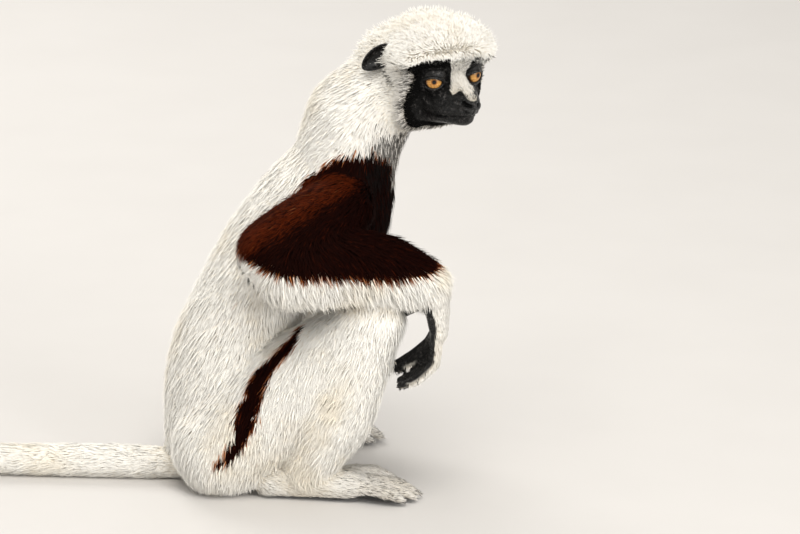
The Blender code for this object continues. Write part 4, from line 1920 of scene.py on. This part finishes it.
def digit_nails(side: Side, skin: BVHTree) -> list[Nails]:
    """The nails of one side's hand and foot, set on the skin at the ends of the digits.

    Args:
        side: Right or left.
        skin: The skin's surface.

    Returns:
        The hand's, the foot's and the great toe's nails.
    """
    seats = (
        ("nails_hand", Fingers(side).nail_seats(), 6.5, 3.2),
        ("nails_foot", toe_seats(side), 8.0, 3.6),
        ("nail_great_toe", great_toe_seat(side), 7.0, 4.6),
    )
    pieces = []
    for name, (starts, headings, backs), length, width in seats:
        on_skin = [np.array(skin.find_nearest(Vector(start))[0]) for start in starts]
        bases = [
            at - heading * 1.2 * MM - back * 0.15 * MM
            for at, heading, back in zip(on_skin, headings, backs)
        ]
        pieces.append(Nails(f"{name}_{side}", bases, headings, backs, length, width))
    return pieces


# ---- the coat

@dataclass(frozen=True)
class CoatPiece:
    """One piece of the coat.

    Args:
        name: Of its object.
        nodes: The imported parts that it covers.
        slot: Its material slot.
        part: Which part of the head it covers, or all.
        around: The middle of the patch that it covers, when it is only a patch.
        fan: The point that the hair of a patch spreads away from.
        style: How the hair of a patch grows.
    """

    name: str
    nodes: tuple[str, ...]
    slot: str = "cream_coat"
    part: str = "all"
    around: Array | None = None
    fan: Array | None = None
    style: CoatStyle | None = None


@dataclass
class Coat:
    """Grows the coat as closed tufts, each a bent three-sided spindle that tapers to a point at both ends."""

    skin: Skin
    material: Material
    seed: int = 11
    most: int = 33000
    lock: float = 0.07
    lock_size: int = 16
    widest: float = 0.36
    wild: float = 0.07
    corner_across: tuple = (0.5, 0.0, 0.5, 1.0, 0.5)
    corner_along: tuple = (0.0, 0.4, 0.4, 0.4, 1.0)
    tuft_faces: tuple = ((0, 2, 1), (0, 3, 2), (0, 1, 3), (4, 1, 2), (4, 2, 3), (4, 3, 1))

    def chosen(self, piece: CoatPiece) -> Array:
        """The skin's triangles that this piece grows on.

        Args:
            piece: The piece of the coat.

        Returns:
            The triangles.
        """
        grown, body = self.skin.fields, self.skin.body
        triangles = mesh_triangles(self.skin.piece.data)
        wanted = [number for number, node in enumerate(body.nodes) if node in piece.nodes]
        here = np.isin(grown["label"][triangles[:, 0]], wanted)
        furred = grown["bare"][triangles].mean(axis=1) < 0.5
        centre = mesh_points(self.skin.piece.data)[triangles].mean(axis=1)
        local = self.skin.head.local(centre)
        if piece.part == "crown":
            here &= local[:, 2] > 4.0
        elif piece.part == "cheeks":
            here &= local[:, 2] <= 4.0
        if piece.around is not None:
            here &= np.linalg.norm(centre - piece.around, axis=1) < PATCH_REACH
        off_floor = centre[:, 2] > 1.5 * MM
        return triangles[here & furred & off_floor]

    def unwrapped(self, triangles: Array) -> Array:
        """Places for each triangle's corners on an unwrap of this part of the skin.

        Args:
            triangles: Faces.

        Returns:
            Three places of the unwrap for each triangle.
        """
        used, faces = np.unique(triangles, return_inverse=True)
        points = mesh_points(self.skin.piece.data)[used]
        mesh = bpy.data.meshes.new("unwrap")
        mesh.from_pydata(points.tolist(), [], faces.reshape(-1, 3).tolist())
        mesh.uv_layers.new(name="flat")
        guide = new_object("unwrap", mesh)
        bpy.context.view_layer.objects.active = guide
        guide.select_set(True)
        bpy.ops.object.mode_set(mode="EDIT")
        bpy.ops.mesh.select_all(action="SELECT")
        bpy.ops.uv.smart_project(angle_limit=math.radians(70), island_margin=0.004)
        bpy.ops.object.mode_set(mode="OBJECT")
        flat = np.empty(len(mesh.loops) * 2)
        mesh.uv_layers["flat"].data.foreach_get("uv", flat)
        bpy.data.objects.remove(guide)
        return flat.reshape(-1, 3, 2)

    def grow(self, piece: CoatPiece, number: int) -> Object:
        """Makes one piece of the coat.

        Args:
            piece: The piece of the coat.
            number: Its place in the order.

        Returns:
            The grown piece.
        """
        random = np.random.default_rng(self.seed + number)
        grown = self.skin.fields
        points = mesh_points(self.skin.piece.data)
        triangles = self.chosen(piece)
        flat = self.unwrapped(triangles)
        corners = points[triangles]
        doubled = np.cross(corners[:, 1] - corners[:, 0], corners[:, 2] - corners[:, 0])
        area = np.linalg.norm(doubled, axis=1) / 2
        spacing = grown["spacing"][triangles].mean(axis=1)
        if piece.style is not None:
            spacing = piece.style.spacing * MM
        expected = np.cumsum(area / spacing**2)
        count = int(min(expected[-1], self.most))
        if expected[-1] > self.most:
            log.warning("%s would need %d tufts and gets %d", piece.name, expected[-1], self.most)
        step = (np.arange(count) + random.uniform(0, 1, count)) * expected[-1] / count
        which = np.minimum(np.searchsorted(expected, step), len(triangles) - 1)
        slide, split = np.sqrt(random.uniform(0, 1, count)), random.uniform(0, 1, count)
        shares = np.stack([1 - slide, slide * (1 - split), slide * split], axis=1)
        at_root = {
            name: np.einsum("ij,ij...->i...", shares, values[triangles[which]])
            for name, values in grown.items()
            if name != "label"
        }
        place, even = at_root["outside"], unit(at_root["even"])
        spots = Spots(place, even, self.skin.body.nearest(place))
        at_root["maroon"] = self.skin.markings.maroon(spots)
        at_root["dusk"] = self.skin.markings.dusk(spots)
        root = np.einsum("ij,ijk->ik", shares, corners[which])
        if piece.style is not None:
            for name in ("depth", "length", "width"):
                at_root[name] = np.full(count, getattr(piece.style, name) * MM)
            at_root["lay"] = unit(root - piece.fan)
            at_root["dusk"] = np.full(count, 0.06)
        uv = np.einsum("ij,ijk->ik", shares, flat[which])
        tufts = self.shape(root, at_root, random)
        made = self.mesh(piece.name, tufts, at_root, uv, random)
        dress(made, self.material, piece.slot)
        log.info("%s: %d tufts, %d triangles", piece.name, count, len(made.data.polygons))
        return made

    def shape(
        self, root: Array, at_root: dict[str, Array], random: Generator
    ) -> tuple[Array, Array]:
        """The five corners of every tuft: its root, the three of its middle and its tip.

        Args:
            root: Where each tuft stands on the skin.
            at_root: The coat's fields at each root.
            random: The source of all chance in this piece.

        Returns:
            The corners and their shading normals, five for each tuft.
        """
        count = len(root)
        even, deep = unit(at_root["even"]), ramp(at_root["depth"] / MM, 1.5, 4.0)[:, None]
        normal = unit(at_root["normal"] * (1 - deep) + even * deep)
        lay = at_root["lay"] - normal * np.sum(at_root["lay"] * normal, axis=1, keepdims=True)
        pressed = np.clip(np.linalg.norm(lay, axis=1) / 0.55, 0.2, 1.0)
        lay = unit(lay + 1e-6)
        swirl = Ripples(22 * MM, self.seed).at(root) * 0.4 + random.normal(0, 0.55, count)
        angle = (at_root["stray"] * swirl)[:, None]
        side = np.cross(normal, lay)
        lay = unit(lay * np.cos(angle) + side * np.sin(angle))
        side = np.cross(normal, lay)
        swell = 1 + 0.05 * Ripples(14 * MM, self.seed + 1).at(root)
        wild = random.uniform(0, 1, count) < self.wild
        rise = at_root["depth"] * random.uniform(0.82, 1.10, count) * swell * (1 + 0.7 * wild)
        length = at_root["length"] * random.uniform(0.78, 1.12, count)
        flat = np.sqrt(np.maximum(length**2 - rise**2, (0.2 * length) ** 2)) * pressed
        base = root - normal * 0.5 * MM
        tip = root + normal * rise[:, None] + lay * flat[:, None]
        tip[:, 2] -= 0.05 * length
        middle = root + normal * (0.66 * rise)[:, None] + lay * (self.widest * flat)[:, None]
        tip, middle = self.gathered(root, middle, tip, random)
        half = (at_root["width"] * random.uniform(0.75, 1.25, count) / 2)[:, None]
        run = unit(tip - base)
        crest = unit(normal - run * np.sum(normal * run, axis=1, keepdims=True))
        ring = (middle + side * half - crest * half * 0.15, middle + crest * half * 0.32,
                middle - side * half - crest * half * 0.15)
        corners = np.stack([base, *ring, tip], axis=1)
        corners[:, :, 2] = np.maximum(corners[:, :, 2], FLOOR_GAP)
        lit = unit(even + UP * at_root["lift"][:, None])
        shading = np.stack([lit, unit(lit + 0.2 * side), lit, unit(lit - 0.2 * side), lit], axis=1)
        return corners, shading

    def gathered(
        self, root: Array, middle: Array, tip: Array, random: Generator
    ) -> tuple[Array, Array]:
        """Draws neighbouring tufts together towards their tips, into locks.

        Args:
            root: Where each tuft stands.
            middle: The middle of each.
            tip: The tip of each.
            random: The source of chance.

        Returns:
            The new tips and the new middles.
        """
        leaders = random.choice(len(root), max(len(root) // self.lock_size, 1), replace=False)
        tree = KDTree(len(leaders))
        for number, leader in enumerate(leaders.tolist()):
            tree.insert(root[leader], number)
        tree.balance()
        own = leaders[[tree.find(place)[1] for place in root.tolist()]]
        pull = (self.lock * random.uniform(0.5, 1.2, len(root)))[:, None]
        gathered_tip = tip + pull * (tip[own] - tip)
        return gathered_tip, middle + 0.3 * pull * (middle[own] - middle)

    def mesh(
        self, name: str, tufts: tuple[Array, Array], at_root: dict[str, Array], uv: Array, random: Generator
    ) -> Object:
        """Turns the tufts into a mesh with its colours' fields and its bake map.

        Args:
            name: What it is called.
            tufts: The corners of the tufts and their shading normals.
            at_root: The coat's fields at each root.
            uv: Where each root lies on the unwrap.
            random: The source of chance.

        Returns:
            The piece of coat.
        """
        corners, shading = tufts
        count = len(corners)
        size = len(self.corner_across)
        faces = (np.array(self.tuft_faces)[None] + (np.arange(count) * size)[:, None, None]).reshape(-1, 3)
        mesh = bpy.data.meshes.new(name)
        mesh.vertices.add(count * size)
        mesh.vertices.foreach_set("co", corners.astype(np.float32).ravel())
        mesh.loops.add(faces.size)
        mesh.loops.foreach_set("vertex_index", faces.astype(np.int32).ravel())
        mesh.polygons.add(len(faces))
        mesh.polygons.foreach_set("loop_start", np.arange(0, faces.size, 3, dtype=np.int32))
        mesh.update(calc_edges=True)
        mesh.shade_smooth()
        mesh.normals_split_custom_set_from_vertices(shading.reshape(-1, 3).tolist())
        across, along = np.tile(self.corner_across, count), np.tile(self.corner_along, count)
        seed = random.uniform(0, 1, count)
        dark = random.uniform(0, 1, count) < at_root["dusk"]
        maroon = np.clip(at_root["maroon"] + random.normal(0, 0.05, count), 0, 1)
        tinted = {
            "seed": seed,
            "maroon": maroon,
            "black": np.maximum(at_root["black"] > 0.5, 0.78 * dark),
            "grey": np.clip(at_root["grey"] * random.uniform(0.6, 1.3, count), 0, 1),
        }
        set_attribute(mesh, "across", across)
        set_attribute(mesh, "along", along)
        for label, values in tinted.items():
            set_attribute(mesh, label, np.repeat(values, size))
        offset = np.stack([across, along], axis=1) * BAKE_PATCH
        spots = (np.repeat(uv, size, axis=0) + offset)[faces.ravel()]
        layer = mesh.uv_layers.new(name=BAKE_MAP)
        layer.data.foreach_set("uv", np.clip(spots, 0.0, 1.0).astype(np.float32).ravel())
        return new_object(name, mesh)


def coat_pieces(head: HeadPlace) -> list[CoatPiece]:
    """Every piece of the coat.

    Args:
        head: The head's directions.

    Returns:
        The pieces, in the order that they grow.
    """
    pieces = [
        CoatPiece("coat_crown", ("head", "muzzle"), part="crown"),
        CoatPiece("coat_cheeks", ("head", "muzzle", "jaw"), part="cheeks"),
        CoatPiece("coat_neck", ("neck",)),
        CoatPiece("coat_chest", ("chest",)),
        CoatPiece("coat_rump", ("hips",)),
        CoatPiece("coat_tail", ("tail_1", "tail_2", "tail_3", "tail_4")),
    ]
    for side in Side:
        before_ear = head.world(-17.0, side.value * 39.0, 12.0)
        temple = head.world(2.0, side.value * 29.0, 8.0)
        pieces += [
            CoatPiece(
                f"coat_ear_{side}", ("head",), around=before_ear, fan=temple,
                style=CoatStyle(4.5, 14.0, 0.6, 1.0, 0.8),
            ),
            CoatPiece(f"coat_arm_{side}", (f"upper_arm_{side}", f"forearm_{side}"), "maroon_coat"),
            CoatPiece(f"coat_hand_{side}", (f"hand_{side}", f"thumb_{side}"), "grey_coat"),
            CoatPiece(f"coat_thigh_{side}", (f"thigh_{side}",)),
            CoatPiece(f"coat_shin_{side}", (f"shin_{side}",)),
            CoatPiece(f"coat_foot_{side}", (f"foot_{side}", f"great_toe_{side}"), "grey_coat"),
        ]
    return pieces


# ---- studio

@dataclass
class Studio:
    """A plain pale floor, soft lights and the camera."""

    azimuth: float = math.radians(7)
    elevation: float = math.radians(17)
    distance: float = 4.8
    view_width: float = 0.672
    sensor: float = 36.0
    floor_size: float = 40.0

    def floor(self, material: Material) -> Object:
        """A wide sheet that the animal sits on.

        Args:
            material: What it is made of.

        Returns:
            The sheet.
        """
        half = self.floor_size / 2
        corners = np.array([(-half, -half, 0), (half, -half, 0), (half, half, 0), (-half, half, 0)])
        sheet = solid("floor", corners, [(0, 1, 2, 3)])
        sheet.data.materials.append(material)
        return sheet

    def camera(self) -> None:
        """Looks at the body from its right, a little from behind and above."""
        low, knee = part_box("hips")[0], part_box("thigh_R")[1]
        aim = Vector((knee.x - 15 * MM, 12 * MM, low.z + 185 * MM))
        azimuth, elevation = self.azimuth, self.elevation
        looking = Vector((
            -math.sin(azimuth) * math.cos(elevation),
            math.cos(azimuth) * math.cos(elevation),
            -math.sin(elevation),
        ))
        lens = bpy.data.cameras.new("camera")
        lens.sensor_width = self.sensor
        lens.lens = self.sensor * self.distance / self.view_width
        lens.clip_end = 100.0
        eye = new_object("camera", lens)
        eye.location = aim - looking * self.distance
        eye.rotation_euler = looking.to_track_quat("-Z", "Y").to_euler()
        bpy.context.scene.camera = eye

    def light(self, name: str, place: tuple, size: float, power: float, colour: tuple) -> None:
        """A soft square light that points at the animal.

        Args:
            name: What it is called.
            place: Where it hangs.
            size: The length of its sides, in metres.
            power: In watts.
            colour: Its colour.
        """
        lamp = bpy.data.lights.new(name, "AREA")
        lamp.size = size
        lamp.energy = power
        lamp.color = colour
        holder = new_object(name, lamp)
        holder.location = place
        aim = box_centre("chest") - Vector(place)
        holder.rotation_euler = aim.to_track_quat("-Z", "Y").to_euler()

    def lights(self) -> None:
        """A high key light, a fill from the front, a small light for the eyes, a rim light and a room."""
        self.light("key", (0.3, -1.5, 2.6), 1.5, 48.5, (1.0, 0.98, 0.95))
        self.light("fill", (2.4, -1.6, 0.9), 1.6, 24.0, (0.98, 0.99, 1.0))
        self.light("glint", (1.9, -2.1, 0.95), 0.35, 12.0, (1.0, 1.0, 1.0))
        self.light("rim", (-1.2, 1.6, 1.8), 1.2, 28.0, (1.0, 0.99, 0.97))
        world = bpy.data.worlds.new("room")
        world.use_nodes = True
        world.node_tree.nodes["Background"].inputs["Color"].default_value = (0.91, 0.90, 0.88, 1)
        world.node_tree.nodes["Background"].inputs["Strength"].default_value = 0.8
        bpy.context.scene.world = world
        bpy.context.scene.view_settings.view_transform = "Standard"


# ---- the whole animal


def main() -> None:
    """Builds the sifaka from the skin outwards, and the studio round it."""
    logging.basicConfig(level=logging.INFO, format="%(name)s: %(message)s")
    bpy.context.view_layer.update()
    hair = HairColours()
    finishes = Finishes(hair, hair.group(), strand_group(), leather_group())
    head, body = HeadPlace.from_eyes(), Body()
    markings = Markings(head, body)
    skin = Skin(head, body, markings, Lay(head, body))
    skin.fuse()
    log.info("skin fused: %d points", len(skin.piece.data.vertices))
    skin.soften()
    skin.thin_out()
    skin.refine_face()
    skin.draw_in()
    skin.finish(finishes.skin(), FaceSculpt(head))
    log.info("skin finished: %d triangles", len(mesh_triangles(skin.piece.data)))
    surface = skin.piece.data
    tree = BVHTree.FromPolygons(mesh_points(surface).tolist(), mesh_triangles(surface).tolist())
    lid_finish, eye_finish, nail_finish = finishes.lids(), finishes.eye(), finishes.nail()
    for side in Side:
        eye = Eye(head, side)
        pieces = [eye.eyeball(eye_finish), eye.lids(tree, lid_finish), Ear(head, side).build(lid_finish)]
        pieces += [nails.build(nail_finish) for nails in digit_nails(side, tree)]
        log.info("made %s", ", ".join(piece.name for piece in pieces))
    coat = Coat(skin, finishes.coat())
    for number, piece in enumerate(coat_pieces(head)):
        coat.grow(piece, number)
    studio = Studio()
    studio.floor(finishes.floor())
    studio.camera()
    studio.lights()


if __name__ == "__main__":
    main()
